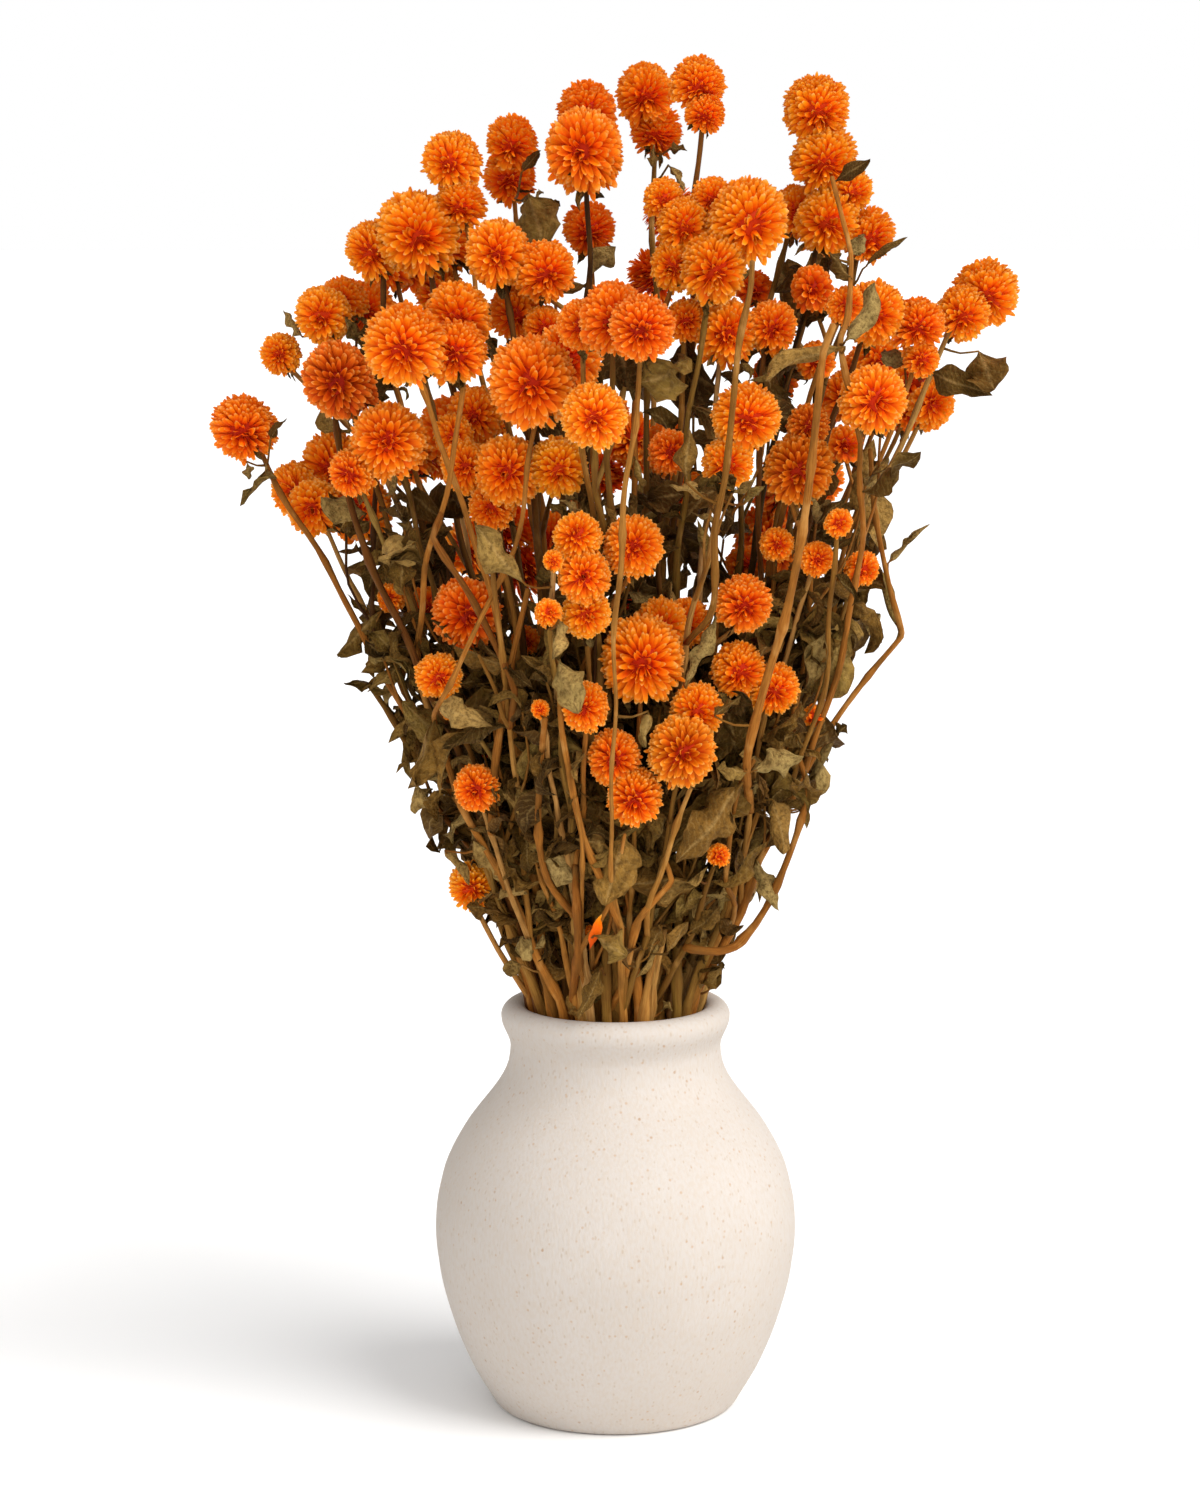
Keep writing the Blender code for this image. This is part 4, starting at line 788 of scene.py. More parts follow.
# Leaves that stand out, with no node of their own: root and tip as above, width, and depth as a head's
PLACED_LEAVES = [
    (-36, 519, -30, 500, 14.2, 0.7), (-11, 485, -1, 496, 8.4, 0.6), (-39, 528, -31, 537, 3.3, 0.6),
    (-131, 460, -138, 470, 5, 0.5), (96, 456, 62, 444, 10, 0.03), (96, 458, 108, 480, 8.4, 0.03),
    (152, 454, 157, 438, 12.6, 0.4), (91, 524, 105, 533, 5, 0.35), (103, 488, 120, 501, 4.2, 0.5),
    (98, 494, 104, 502, 5, 0.1), (89, 495, 98, 485, 8.4, 0.1), (77, 463, 73, 491, 10.9, 0.6),
    (71, 465, 82, 482, 9.2, 0.65), (70, 475, 68, 491, 7.5, 0.6), (121, 448, 111, 454, 5.9, 0.3),
    (22, 531, 28, 521, 5.9, 0.7), (23, 538, 29, 537, 5, 0.7), (16, 539, 14, 530, 4.2, 0.7),
    (-145, 417, -139, 427, 3.8, 0.3), (-155, 408, -154, 401, 3.8, 0.3), (-105, 386, -123, 392, 10.9, 0.25),
    (-103, 383, -113, 379, 8.4, 0.25), (-84, 374, -99, 366, 11.7, 0.12), (-89, 379, -96, 361, 9.2, 0.15),
    (-91, 368, -91, 352, 9.2, 0.12), (-99, 345, -118, 326, 10.9, 0.25), (-91, 338, -106, 320, 11.7, 0.22),
    (-89, 324, -104, 312, 6.7, 0.2), (-38, 356, -56, 380, 10.9, 0.03), (-46, 321, -66, 329, 10.9, 0.08),
    (-48, 323, -57, 332, 6.7, 0.1), (-25, 324, -16, 303, 10.9, 0), (-24, 341, -26, 326, 8.4, 0.02),
    (-78, 306, -55, 297, 8.4, 0.05), (-74, 290, -89, 305, 10, 0.1), (30, 399, 31, 420, 9.2, 0.03),
    (8, 410, 13, 398, 6.7, 0.05), (38, 394, 24, 398, 5.9, 0.05), (54, 390, 62, 397, 5, 0.05),
    (115, 365, 131, 380, 5.9, 0.35), (120, 336, 108, 366, 7.1, 0.28), (102, 373, 109, 413, 9.2, 0.3),
    (86, 306, 99, 336, 13.4, 0.2), (98, 350, 106, 344, 5.9, 0.3), (30, 312, 40, 340, 6.3, 0.04),
    (42, 300, 52, 308, 5.4, 0.02), (14, 302, 13, 288, 10.9, 0), (92, 295, 73, 302, 10.9, 0.12),
    (91, 290, 98, 296, 6.7, 0.15), (77, 292, 65, 288, 8.4, 0.1), (54, 271, 28, 242, 13, 0),
    (58, 276, 78, 282, 10, 0.02), (56, 276, 44, 277, 7.5, 0), (36, 229, 10, 225, 14.2, 0),
    (4, 249, -4, 222, 13.4, 0.02), (-5, 245, -16, 247, 11.7, 0), (-16, 229, -30, 236, 10, 0.02),
    (-9, 205, 4, 197, 12.6, -0.04), (-17, 264, -27, 275, 10.9, 0.02), (-27, 258, -46, 267, 9.2, 0.04),
    (-42, 229, -59, 247, 11.7, 0.05), (-38, 225, -49, 221, 9.2, 0.02), (-51, 216, -63, 217, 7.5, 0.15),
    (-76, 258, -84, 270, 10, 0.2), (-73, 270, -83, 295, 11.7, 0.2), (-15, 173, -2, 190, 6.7, 0),
    (31, 206, 46, 217, 5.9, 0.03), (51, 233, 54, 249, 9.2, 0.05), (81, 262, 94, 292, 10, 0.2),
    (78, 259, 86, 274, 7.5, 0.2), (-73, 242, -64, 229, 6.7, 0.2), (60, 238, 66, 218, 7.5, 0.12),
    (19, 203, 10, 188, 5.9, 0.02), (67, 264, 73, 242, 9.2, 0.08), (-6, 191, -16, 172, 6, -0.02),
    (-15, 177, -20, 171, 7, -0.02), (-40, 192, -48, 189, 5, 0.05), (-28, 211, -19, 202, 6, 0.08),
    (40, 181, 45, 191, 5, 0.05), (14, 196, 20, 210, 6, 0), (22, 197, 30, 211, 6, 0), (19, 171, 23, 176, 6, 0)]
# The one loose bract that hangs on the stems over the vase's mouth, given as a leaf
LOOSE_BRACT = (-11, 199, -6, 214, 7, -0.05)
# Stems of the same kind: places on the way up, first and last radius, and depth
PLACED_STEMS = [
    ([(92, 296), (107, 317), (121, 334), (121, 337), (116, 354), (109, 388), (107, 413)], 1.35, 0.95, 0.25),
    ([(-85, 282), (-95, 299), (-104, 313), (-103, 315), (-96, 319), (-88, 326)], 1.35, 0.8, 0.2),
    ([(82, 268), (79, 255), (76, 245), (67, 222), (60, 210), (54, 203), (51, 200), (44, 198), (33, 199)],
     1.2, 2.0, 0.0),
    ([(-43, 311), (-47, 322), (-62, 352), (-77, 376)], 1.5, 1.1, 0.03),
    ([(-52, 273), (-48, 301), (-43, 328), (-37, 354)], 1.8, 1.2, 0.08),
    ([(-48, 300), (-51, 311), (-58, 326)], 1.2, 0.7, 0.03),
    ([(-29, 229), (-33, 249), (-32, 277), (-30, 299)], 1.6, 1.3, 0),
    ([(-6, 229), (-14, 249), (-19, 272), (-23, 295)], 1.6, 1.2, 0),
    ([(14, 218), (20, 233), (26, 253), (32, 269)], 1.4, 1, 0),
    ([(-4, 168), (3, 183), (10, 212), (21, 225), (24, 229)], 1.9, 1.1, 0),
    ([(-19, 169), (-18, 183), (-16, 197), (-17, 225)], 2.0, 1.5, 0),
    ([(-16, 196), (-4, 216), (1, 234), (4, 249)], 1.2, 0.8, 0),
    ([(51, 218), (47, 229), (52, 268), (59, 281)], 1.3, 0.9, 0.04),
    ([(41, 346), (42, 380), (46, 401), (49, 430), (52, 460), (56, 478), (57, 491)], 1.35, 1.1, 0.0),
    ([(56, 282), (63, 312), (72, 343), (78, 374), (81, 395), (84, 424), (87, 454), (91, 465)], 1.9, 1.5, 0.0),
    ([(94, 457), (97, 468), (98, 482), (98, 495), (95, 507), (92, 518), (90, 526)], 1.25, 1.0, 0.1)]
# How near the vase's mouth a placed stem starts that rises from inside, from which height, how near a stem
# ends that joins another, and the turns, the steps and the reach in which its points are moved off the heads
FROM_MOUTH = 0.008
INSIDE_HEIGHT = 0.135
JOIN = 0.006
CLEAR_TURNS = 9
CLEAR_STEP = 0.003
NEAR_POINT = 0.012


def unit(vectors):
    """Each row at length one."""
    vectors = np.asarray(vectors, float)
    return vectors / np.maximum(np.linalg.norm(vectors, axis=-1, keepdims=True), 1e-12)


def square_to(axis, aside):
    """Two directions square to an axis and to each other."""
    across = unit(np.cross(axis, aside))
    return across, np.cross(axis, across)


def run_along(path):
    """How far along a path each of its points is."""
    return np.concatenate([[0], np.cumsum(np.linalg.norm(np.diff(path, axis=0), axis=1))])


def nearest(spots, place):
    return spots[np.argmin(np.linalg.norm(spots - place, axis=1))]


def to_eye(place):
    return unit(np.array(EYE) - place)


def share_out(point):
    """How far out in the bunch a point is, from 0 on its axis to 1 on its outside."""
    return math.hypot(point[0], point[1] / DEPTH_SHARE) / half_width(point[2])


def grid(rows, columns, wide):
    """The quads between rows of points, each as wide as this. They close into a ring where columns fill it."""
    low = (np.arange(rows) * wide)[:, None] + np.arange(columns)[None]
    beside = (np.arange(rows) * wide)[:, None] + (np.arange(columns)[None] + 1) % wide
    return np.stack([low, beside, beside + wide, low + wide], axis=-1).reshape(-1, 4)


def new_object(name, data, place=(0, 0, 0), turn=(0, 0, 0)):
    made = bpy.data.objects.new(name, data)
    made.location, made.rotation_euler = place, turn
    bpy.context.scene.collection.objects.link(made)
    return made


class Patch:
    """Points, faces, texture places and shades that are gathered into one piece."""

    def __init__(self):
        self.points, self.uv, self.shade, self.quads, self.tris, self.size = [], [], [], [], [], 0

    def add(self, points, uv, shade, quads, tris=()):
        self.points.append(points)
        self.uv.append(uv)
        self.shade.append(shade)
        if len(quads):
            self.quads.append(np.asarray(quads) + self.size)
        if len(tris):
            self.tris.append(np.asarray(tris) + self.size)
        self.size += len(points)

    def take(self, scrap):
        """Add the one blade that another patch holds."""
        self.add(scrap.points[0], scrap.uv[0], scrap.shade[0], scrap.quads[0])

    def piece(self, name, finish, slot):
        """The smooth mesh object of all that was added."""
        mesh = bpy.data.meshes.new(name)
        faces = [np.concatenate(blocks) for blocks in (self.quads, self.tris) if blocks]
        corners = np.concatenate([block.ravel() for block in faces]).astype(np.int32)
        counts = np.concatenate([np.full(len(block), block.shape[1]) for block in faces])
        starts = np.concatenate([[0], np.cumsum(counts)[:-1]]).astype(np.int32)
        mesh.vertices.add(self.size)
        mesh.vertices.foreach_set("co", np.concatenate(self.points).astype(np.float32).ravel())
        mesh.loops.add(len(corners))
        mesh.loops.foreach_set("vertex_index", corners)
        mesh.polygons.add(len(starts))
        mesh.polygons.foreach_set("loop_start", starts)
        mesh.polygons.foreach_set("use_smooth", np.ones(len(starts), bool))
        mesh.update(calc_edges=True)
        layer = mesh.uv_layers.new(name="grain")
        layer.data.foreach_set("uv", np.concatenate(self.uv).astype(np.float32)[corners].ravel())
        colours = mesh.color_attributes.new("shade", "FLOAT_COLOR", "POINT")
        colours.data.foreach_set("color", np.concatenate(self.shade).astype(np.float32).ravel())
        mesh.validate()
        mesh.materials.append(finish)
        made = new_object(name, mesh)
        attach(made, "root")
        return made


class Crowd:
    """All heads' places and sizes, which stems and leaves keep clear of."""

    def __init__(self, heads):
        self.centres = np.array([head.centre for head in heads])
        self.radii = np.array([head.radius for head in heads])
        self.top = float(max(head.centre.z for head in heads))

    def misses(self, points, share):
        """Whether every point keeps off every head."""
        gap = np.linalg.norm(points[:, None] - self.centres[None], axis=2)
        return bool((gap > self.radii[None] * share).all())

    def hidden_by(self, points, share):
        """Whether any point stands before a head, seen from the eye."""
        eye = np.array(EYE)
        flat = (points - eye)[:, [0, 2]] / (points - eye)[:, 1:2]
        marks = (self.centres - eye)[:, [0, 2]] / (self.centres - eye)[:, 1:2]
        gap = np.linalg.norm(flat[:, None] - marks[None], axis=2)
        near = points[:, None, 1] < self.centres[None, :, 1]
        return bool((near & (gap < share * self.radii / (self.centres - eye)[:, 1])).any())


def facing(head, draw):
    """The way the head's parting looks: towards the viewer or out of the bunch, and a little down."""
    out = np.array([head.centre.x, head.centre.y, 0.0])
    reach = np.linalg.norm(out)
    out = out / max(reach, 1e-6) * min(1.0, reach / 0.08)
    front = float(np.clip((0.12 - head.centre.y) / 0.06, 0, 1))
    toward = unit(np.array(EYE - head.centre))
    fall = np.interp(head.centre.z, [0.42, 0.53], [0.45, 0.85])
    way = out * (1.0 - 0.75 * front) + toward * 1.3 * front - np.array([0, 0, fall])
    return unit(way + np.array([draw.gauss(0, 0.18), draw.gauss(0, 0.18), draw.gauss(0, 0.24)]))


def bract_places(head, mates, radius, spacing, focus, numbers):
    """Where bracts stand on a head: their directions, and their heights towards the focus and how far under."""
    count = int(4 * math.pi / (0.866 * spacing ** 2))
    across, upright = square_to(focus, [0.3, 0.1, 1.0])
    index = np.arange(count)
    height = 1 - 2 * (index + 0.5) / count
    ring = np.sqrt(1 - height ** 2)
    angle = index * math.radians(GOLDEN_ANGLE)
    local = np.stack([ring * np.cos(angle), ring * np.sin(angle), height], axis=1)
    local = unit(local + numbers.normal(0, 0.16 * spacing, local.shape))
    normal = local[:, :1] * across + local[:, 1:2] * upright + local[:, 2:] * focus
    keep = np.ones(count, bool)
    for mate in mates:
        gap = np.linalg.norm(np.array(head.centre) + normal * radius * 0.93 - np.array(mate.centre), axis=1)
        keep &= gap > mate.radius * 0.84
    under = np.clip(-(normal @ np.array(head.axis)), 0, 1)
    keep &= numbers.random(len(normal)) > 0.45 * np.clip((under - 0.70) / 0.2, 0, 1)
    return normal[keep], local[keep, 2], under[keep]


def steps_from(first, steps):
    """Running sums of each row's steps, from its first value on."""
    return np.concatenate([np.zeros((len(steps), 1)), np.cumsum(steps, axis=1)], axis=1) + first[:, None]


def bracts(patch, head, mates, tint, draw, numbers, fine=1.0):
    """Stiff papery bracts all over a head, parting at a focus and lying back like scales away from it."""
    radius = head.radius * GROWTH.get(head.node, HEAD_GROWTH)
    spacing = fine * float(np.interp(radius, [0.004, 0.010, 0.018], [0.30, 0.200, 0.168]))
    focus = facing(head, draw)
    normal, height, under = bract_places(head, mates, radius, spacing, focus, numbers)
    centre, axis = np.array(head.centre), np.array(head.axis)
    count = len(normal)
    theta = np.arccos(np.clip(height, -1, 1))
    away = unit(normal * height[:, None] - focus)
    side = np.cross(normal, away)
    spread = numbers.normal(0, 1, (5, count))
    lean = np.radians(BRACT_LEAN) * np.sin(2 * theta) * np.where(theta < math.pi / 2, 1.0, 0.75)
    lean = lean + np.radians(7) * spread[0] - np.radians(FOCUS_LEAN) * np.exp(-(theta / 0.30) ** 2)
    length = radius * (BRACT_LENGTH + 0.05 * spread[1])
    tip_radius = radius * (BRACT_REACH + (0.035 + 0.05 * under) * spread[2])
    half = radius * spacing * (BRACT_HALF + 0.07 * spread[3]) * (1 + 0.25 * under)
    blunt = np.clip(0.50 + 0.35 * spread[4], 0, 1)[:, None]
    widths = half[:, None] * (blunt * ROUND_WIDTHS + (1 - blunt) * POINTED_WIDTHS)
    # The bract's bend from foot to tip, by its leans at its rows and between them
    foot_lean = FOOT_LEAN * lean
    lean_rows, lean_mid = (foot_lean[:, None] + (lean - foot_lean)[:, None] * places ** 1.3
                           for places in (BRACT_ROWS, (BRACT_ROWS[1:] + BRACT_ROWS[:-1]) / 2))
    steps = np.diff(BRACT_ROWS)
    out = steps_from(BRACT_ROWS[0] * np.cos(foot_lean), np.cos(lean_mid) * steps) * length[:, None]
    along = steps_from(BRACT_ROWS[0] * np.sin(foot_lean), np.sin(lean_mid) * steps) * length[:, None]
    foot = np.sqrt(np.maximum(tip_radius ** 2 - along[:, -1] ** 2, (0.3 * radius) ** 2)) - out[:, -1]
    line = centre + normal[:, None] * (foot[:, None] + out)[..., None] + away[:, None] * along[..., None]
    inner = normal[:, None] * np.sin(lean_rows)[..., None] - away[:, None] * np.cos(lean_rows)[..., None]
    roll = np.radians(BRACT_ROLL) * numbers.normal(0, 1, count)[:, None, None]
    edge = (side[:, None] * np.cos(roll) + inner * np.sin(roll)) * widths[..., None]
    cup = np.where(np.abs(height) > 0.82, 0.55, -0.38)[:, None, None] + 0.15 * numbers.normal(0, 1, (count, 1, 1))
    sink = inner * widths[..., None] * cup
    rows = len(BRACT_ROWS) - 1
    points = np.stack([line - edge + sink, line, line + edge + sink], axis=2)[:, :rows]
    points = np.concatenate([points.reshape(count, rows * 3, 3), line[:, rows:]], axis=1) - centre
    points = centre + points * draw.uniform(0.96, 1.0) + (points @ axis)[..., None] * axis * draw.uniform(0.0, 0.13)
    last, size = (rows - 1) * 3, rows * 3 + 1
    quads = [[low, low + 1, low + 4, low + 3] for row in range(rows - 1) for low in (row * 3, row * 3 + 1)]
    tris = [[last, last + 1, last + 3], [last + 1, last + 2, last + 3]]
    shift = (np.arange(count) * size)[:, None, None]
    t = np.concatenate([np.repeat(BRACT_ROWS[:rows], 3), [1.0]])
    k = np.concatenate([np.tile([-1.0, 0.0, 1.0], rows), [0.0]])
    luck = numbers.random(count)[:, None]
    # Marks heads that are drawn darker, partly their own deeper colour and partly painted shade
    deep = head.node in DEEP_AND_SHADED_HEADS or (head.node, head.place) in DEEP_AND_SHADED_HEADS
    shade = np.stack(np.broadcast_arrays(t, luck, 0.5 + 0.5 * tint + DEEP_AND_SHADED_MARK * deep, np.abs(k)), axis=-1)
    uv = np.stack([k * 0.5 + luck * 40, t + luck * 17], axis=-1)
    patch.add(points.reshape(-1, 3), uv.reshape(-1, 2), shade.reshape(-1, 4),
              (np.array(quads) + shift).reshape(-1, 4), (np.array(tris) + shift).reshape(-1, 3))
    core(patch, centre, radius * CORE_SHARE, tint)


def core(patch, centre, radius, tint):
    """The dense heart that shows dark between the bracts."""
    shape = bmesh.new()
    bmesh.ops.create_icosphere(shape, subdivisions=2, radius=radius)
    points = np.array([vert.co for vert in shape.verts]) + centre
    tris = np.array([[vert.index for vert in face.verts] for face in shape.faces])
    shape.free()
    # The core takes the bracts' darkest colour stop, partly painted shade of the gaps
    shade = np.tile([0.0, 0.2, 0.5 + 0.5 * tint, 0.0], (len(points), 1))
    patch.add(points, np.zeros((len(points), 2)), shade, [], tris)


# Directions, waves in radians a metre and sizes in metres of the push that bends the stems
WOBBLE = unit(np.array([[1.0, 0.3, 0.5], [-0.4, 1.0, 0.6], [0.2, -0.7, 1.0], [0.8, 0.6, -0.9]]))
WOBBLE_WAVES = np.array([70.0, 95.0, 120.0, 160.0])
WOBBLE_SIZE = np.array([0.0011, 0.0009, 0.0006, 0.0004])


def freedom(points):
    return np.clip((points[:, 2] - FREE_HEIGHT) / FREE_RISE, 0, 1)


def wobble(points):
    """A smooth push for each place, the same for every stem that passes it."""
    push = np.zeros_like(points)
    for number, (way, wave, size) in enumerate(zip(WOBBLE, WOBBLE_WAVES, WOBBLE_SIZE)):
        phase = points @ way * wave + 1.7 * number
        push += size * np.stack([np.sin(phase), np.sin(phase * 1.3 + 2), 0.2 * np.sin(phase + 4)], axis=1)
    return push * freedom(points)[:, None]


def lean_out(points):
    """Let the outer stems lean on the rounded inside of the lip, where the solids stand a little off it."""
    flat = np.linalg.norm(points[:, :2], axis=1)
    share = np.interp(points[:, 2], [0.160, 0.177, 0.190, 0.240], [0.0, 1.0, 0.9, 0.0])
    grow = 1 + RIM_LEAN * share * np.clip(flat / 0.034, 0, 1) ** 3
    return points * np.stack([grow, grow, np.ones(len(points))], axis=1)


def curve_through(points, radii, step):
    """Points on a smooth curve through the given ones, with the radius at each."""
    points = [np.array(point, float) for point in points]
    padded = [2 * points[0] - points[1]] + points + [2 * points[-1] - points[-2]]
    path, sizes = [], []
    for index in range(len(points) - 1):
        a, b, c, d = padded[index:index + 4]
        span = np.linalg.norm(c - b)
        pieces = max(2, int(span / step))
        start_way = 0.5 * (c - a) * min(1.0, span / max(np.linalg.norm(b - a), 1e-6))
        end_way = 0.5 * (d - b) * min(1.0, span / max(np.linalg.norm(d - c), 1e-6))
        for piece in range(pieces):
            t = piece / pieces
            path.append(cubic(t, b, start_way, c, end_way))
            sizes.append(radii[index] * (1 - t) + radii[index + 1] * t)
    path.append(points[-1])
    sizes.append(radii[-1])
    return np.array(path), np.array(sizes)


def kinked(path, draw):
    """The path bent slightly at joints, less so in the vase and near its end, and where the joints are."""
    run = run_along(path)
    places = [0.0]
    while places[-1] < run[-1]:
        places.append(places[-1] + draw.uniform(*KINK_GAPS))
    push = np.array([[draw.gauss(0, KINK), draw.gauss(0, KINK), 0.0] for _ in places])
    moved = np.stack([np.interp(run, places, push[:, axis]) for axis in range(3)], axis=1)
    fade = freedom(path) * np.clip((run[-1] - run) / 0.05, 0, 1) * np.clip(run / 0.02, 0, 1)
    return path + moved * fade[:, None], places[1:]


def tube(patch, path, sizes, sides, luck, green, draw, joints=None):
    """A ridged stalk with swollen joints along a path."""
    tangent = unit(np.gradient(path, axis=0))
    frame_x = np.empty_like(path)
    last = unit(np.cross(tangent[0], [0.31, 0.95, 0.07]))
    for row, way in enumerate(tangent):
        last = frame_x[row] = unit(last - way * (last @ way))
    frame_y = np.cross(tangent, frame_x)
    run = run_along(path)
    swell = 1 + 0.05 * np.sin(run * 400 + 6 * luck)
    if joints is None:
        joints = np.cumsum([draw.uniform(*JOINT_GAPS) for _ in range(JOINTS)])
    for joint in joints:
        if joint < run[-1] - 0.01:
            swell += draw.uniform(*JOINT_SWELL) * np.exp(-((run - joint) / JOINT_REACH) ** 2)
    angle = np.linspace(0, 2 * math.pi, sides, endpoint=False)
    ridge = 1 + 0.09 * np.cos(3 * angle + 6 * luck)
    ring = frame_x[:, None] * np.cos(angle)[None, :, None] + frame_y[:, None] * np.sin(angle)[None, :, None]
    points = path[:, None] + ring * (sizes * swell)[:, None, None] * ridge[None, :, None]
    rows = len(path)
    first, top = (rows - 1) * sides, rows * sides
    points = np.concatenate([points.reshape(-1, 3), path[-1:] + tangent[-1:] * sizes[-1] * 0.6, path[:1]])
    tris = [[first + k, first + (k + 1) % sides, top] for k in range(sides)]
    tris += [[(k + 1) % sides, k, top + 1] for k in range(sides)]
    uv = np.stack([np.tile(np.arange(sides) / sides, rows), np.repeat(run, sides)], axis=1)
    uv = np.concatenate([uv, [[0, run[-1]], [0, 0]]])
    shade = np.tile([0.0, luck, green, 0.0], (len(points), 1))
    shade[:-2, 0] = np.repeat(run / max(run[-1], 1e-6), sides)
    shade[-2, 0] = 1
    patch.add(points, uv, shade, grid(rows - 1, sides, sides), tris)


def blade(patch, root, way, side, length, width, draw, curl=None, rows=9, columns=4, luck=None, lobes=0.0,
          shut=1.0):
    """A dried leaf: folded at its rib, rolled in at its edges, curled down its length, twisted and waved."""
    way, side = unit(np.array(way)), np.array(side)
    side = unit(side - way * (side @ way))
    up = np.cross(way, side)
    t = np.linspace(0, 1, rows + 1)[:, None]
    u = np.linspace(-1, 1, columns + 1)[None, :]
    phase, waves = draw.uniform(*ROUND), draw.uniform(1.4, 3.0)
    outline = np.sin(math.pi * t ** draw.uniform(0.62, 0.88)) ** 0.8 * np.clip(t / 0.16, 0.12, 1)
    outline = np.maximum(outline, 0.03 * (1 - t))
    half = width * outline * (1 + lobes * np.sin(2 * math.pi * waves * 1.7 * t + 2 * phase))
    fold = shut * (draw.uniform(0.1, 0.9) + 0.35 * np.sin(5 * t + phase))
    roll = shut * (draw.uniform(0.2, 2.4) + 0.8 * np.sin(2 * math.pi * waves * 0.5 * t + 2 * phase))
    sides = columns // 2
    reach = (np.arange(sides) + 0.5)[None, :] / sides
    wave = draw.uniform(0.3, 1.0)
    y, z = np.zeros((2, rows + 1, columns + 1))
    for sign in (-1, 1):
        ripple = wave * np.sin(2 * math.pi * waves * t + phase + 1.6 * sign) * reach
        slope = fold + roll * reach * (1 + 0.25 * sign) + ripple
        places = slice(sides + 1, None) if sign > 0 else slice(sides - 1, None, -1)
        y[:, places] = sign * (np.cumsum(np.cos(slope), axis=1) / sides * half)
        z[:, places] = np.cumsum(np.sin(slope), axis=1) / sides * half
    z = z + width * 0.12 * np.sin(9 * t + 4 * u + phase) * outline
    turn = shut * (draw.uniform(-1.4, 1.4) * t + 0.4 * np.sin(4 * t + phase))
    y, z = y * np.cos(turn) - z * np.sin(turn), y * np.sin(turn) + z * np.cos(turn)
    curl = draw.uniform(0.2, 2.6) if curl is None else curl
    bend = curl * t ** 1.2 + 0.35 * np.sin(6 * t + phase)
    run = np.concatenate([[0], np.cumsum(np.cos(bend[:-1, 0]))]) / rows * length
    fall = -np.concatenate([[0], np.cumsum(np.sin(bend[:-1, 0]))]) / rows * length
    x = run[:, None] + z * np.sin(bend)
    z = fall[:, None] + z * np.cos(bend)
    points = np.array(root) + x[..., None] * way + y[..., None] * side + z[..., None] * up
    luck = draw.random() if luck is None else luck
    shade = np.stack(np.broadcast_arrays(t, luck, draw.random(), np.abs(u)), axis=-1)
    uv = np.stack(np.broadcast_arrays(u * 0.5 + 0.5, t * length / max(width, 1e-6) * 0.5 + phase), axis=-1)
    points = points.reshape(-1, 3)
    patch.add(points, uv.reshape(-1, 2), shade.reshape(-1, 4), grid(rows, columns, columns + 1))
    return points


class Finish:
    """A Principled material that is built up node by node."""

    def __init__(self, name, roughness, shine):
        self.material = bpy.data.materials.new(name)
        self.material.use_nodes = True
        self.tree = self.material.node_tree
        self.shader = self.tree.nodes["Principled BSDF"]
        self.shader.inputs["Roughness"].default_value = roughness
        self.shader.inputs["Specular IOR Level"].default_value = shine

    def put(self, socket, value):
        """Link another node's output to a socket, or set its number, vector or colour."""
        if isinstance(value, bpy.types.NodeSocket):
            self.tree.links.new(value, socket)
        else:
            socket.default_value = (*value, 1) if socket.type == "RGBA" else value

    def add(self, kind, inputs=(), **settings):
        """A node with its settings. The inputs are given in order, or by name."""
        made = self.tree.nodes.new("ShaderNode" + kind)
        for name, value in settings.items():
            setattr(made, name, value)
        for key, value in inputs.items() if isinstance(inputs, dict) else enumerate(inputs):
            self.put(made.inputs[key], value)
        return made

    def shade(self):
        """The four numbers that each piece stores at its points."""
        stored = self.add("Attribute", attribute_name="shade")
        split = self.add("SeparateColor", [stored.outputs["Color"]])
        return [split.outputs[name] for name in ("Red", "Green", "Blue")] + [stored.outputs["Alpha"]]

    def ramp(self, source, places, *colours):
        made = self.add("ValToRGB", [source])
        elements = made.color_ramp.elements
        elements.remove(elements[-1])
        elements[0].position, elements[0].color = places[0], (*colours[0], 1)
        for place, colour in zip(places[1:], colours[1:]):
            elements.new(place).color = (*colour, 1)
        return made.outputs["Color"]

    def mix(self, share, first, second, kind="MIX"):
        made = self.add("Mix", data_type="RGBA", blend_type=kind)
        factor = next(socket for socket in made.inputs if socket.type == "VALUE")
        colours = [socket for socket in made.inputs if socket.type == "RGBA"]
        for socket, value in zip([factor] + colours, (share, first, second)):
            self.put(socket, value)
        return next(socket for socket in made.outputs if socket.type == "RGBA")

    def math(self, kind, first, second):
        return self.add("Math", [first, second], operation=kind).outputs[0]

    def span(self, source, low, high, to_low=0.0, to_high=1.0):
        return self.add("MapRange", [source, low, high, to_low, to_high]).outputs["Result"]

    def stretched(self, stretch, turn=(0.0, 0.0, 0.0), grain=False):
        """A vector from the object's own space or the grain map, turned and then stretched on each axis."""
        place = self.add("UVMap", uv_map="grain").outputs["UV"] if grain else self.add("TexCoord").outputs["Object"]
        return self.add("Mapping", {"Vector": place, "Rotation": turn, "Scale": stretch}).outputs["Vector"]

    def noise(self, vector, scale, detail=3.0, roughness=0.5):
        inputs = {"Vector": vector, "Scale": scale, "Detail": detail, "Roughness": roughness}
        return self.add("TexNoise", inputs).outputs["Fac"]

    def bump(self, height, strength, distance, before=None):
        made = self.add("Bump", {"Height": height, "Strength": strength, "Distance": distance})
        if before is not None:
            self.put(made.inputs["Normal"], before)
        return made.outputs["Normal"]

    def finished(self, colour, normal=None):
        self.put(self.shader.inputs["Base Color"], colour)
        if normal is not None:
            self.put(self.shader.inputs["Normal"], normal)
        return self.material


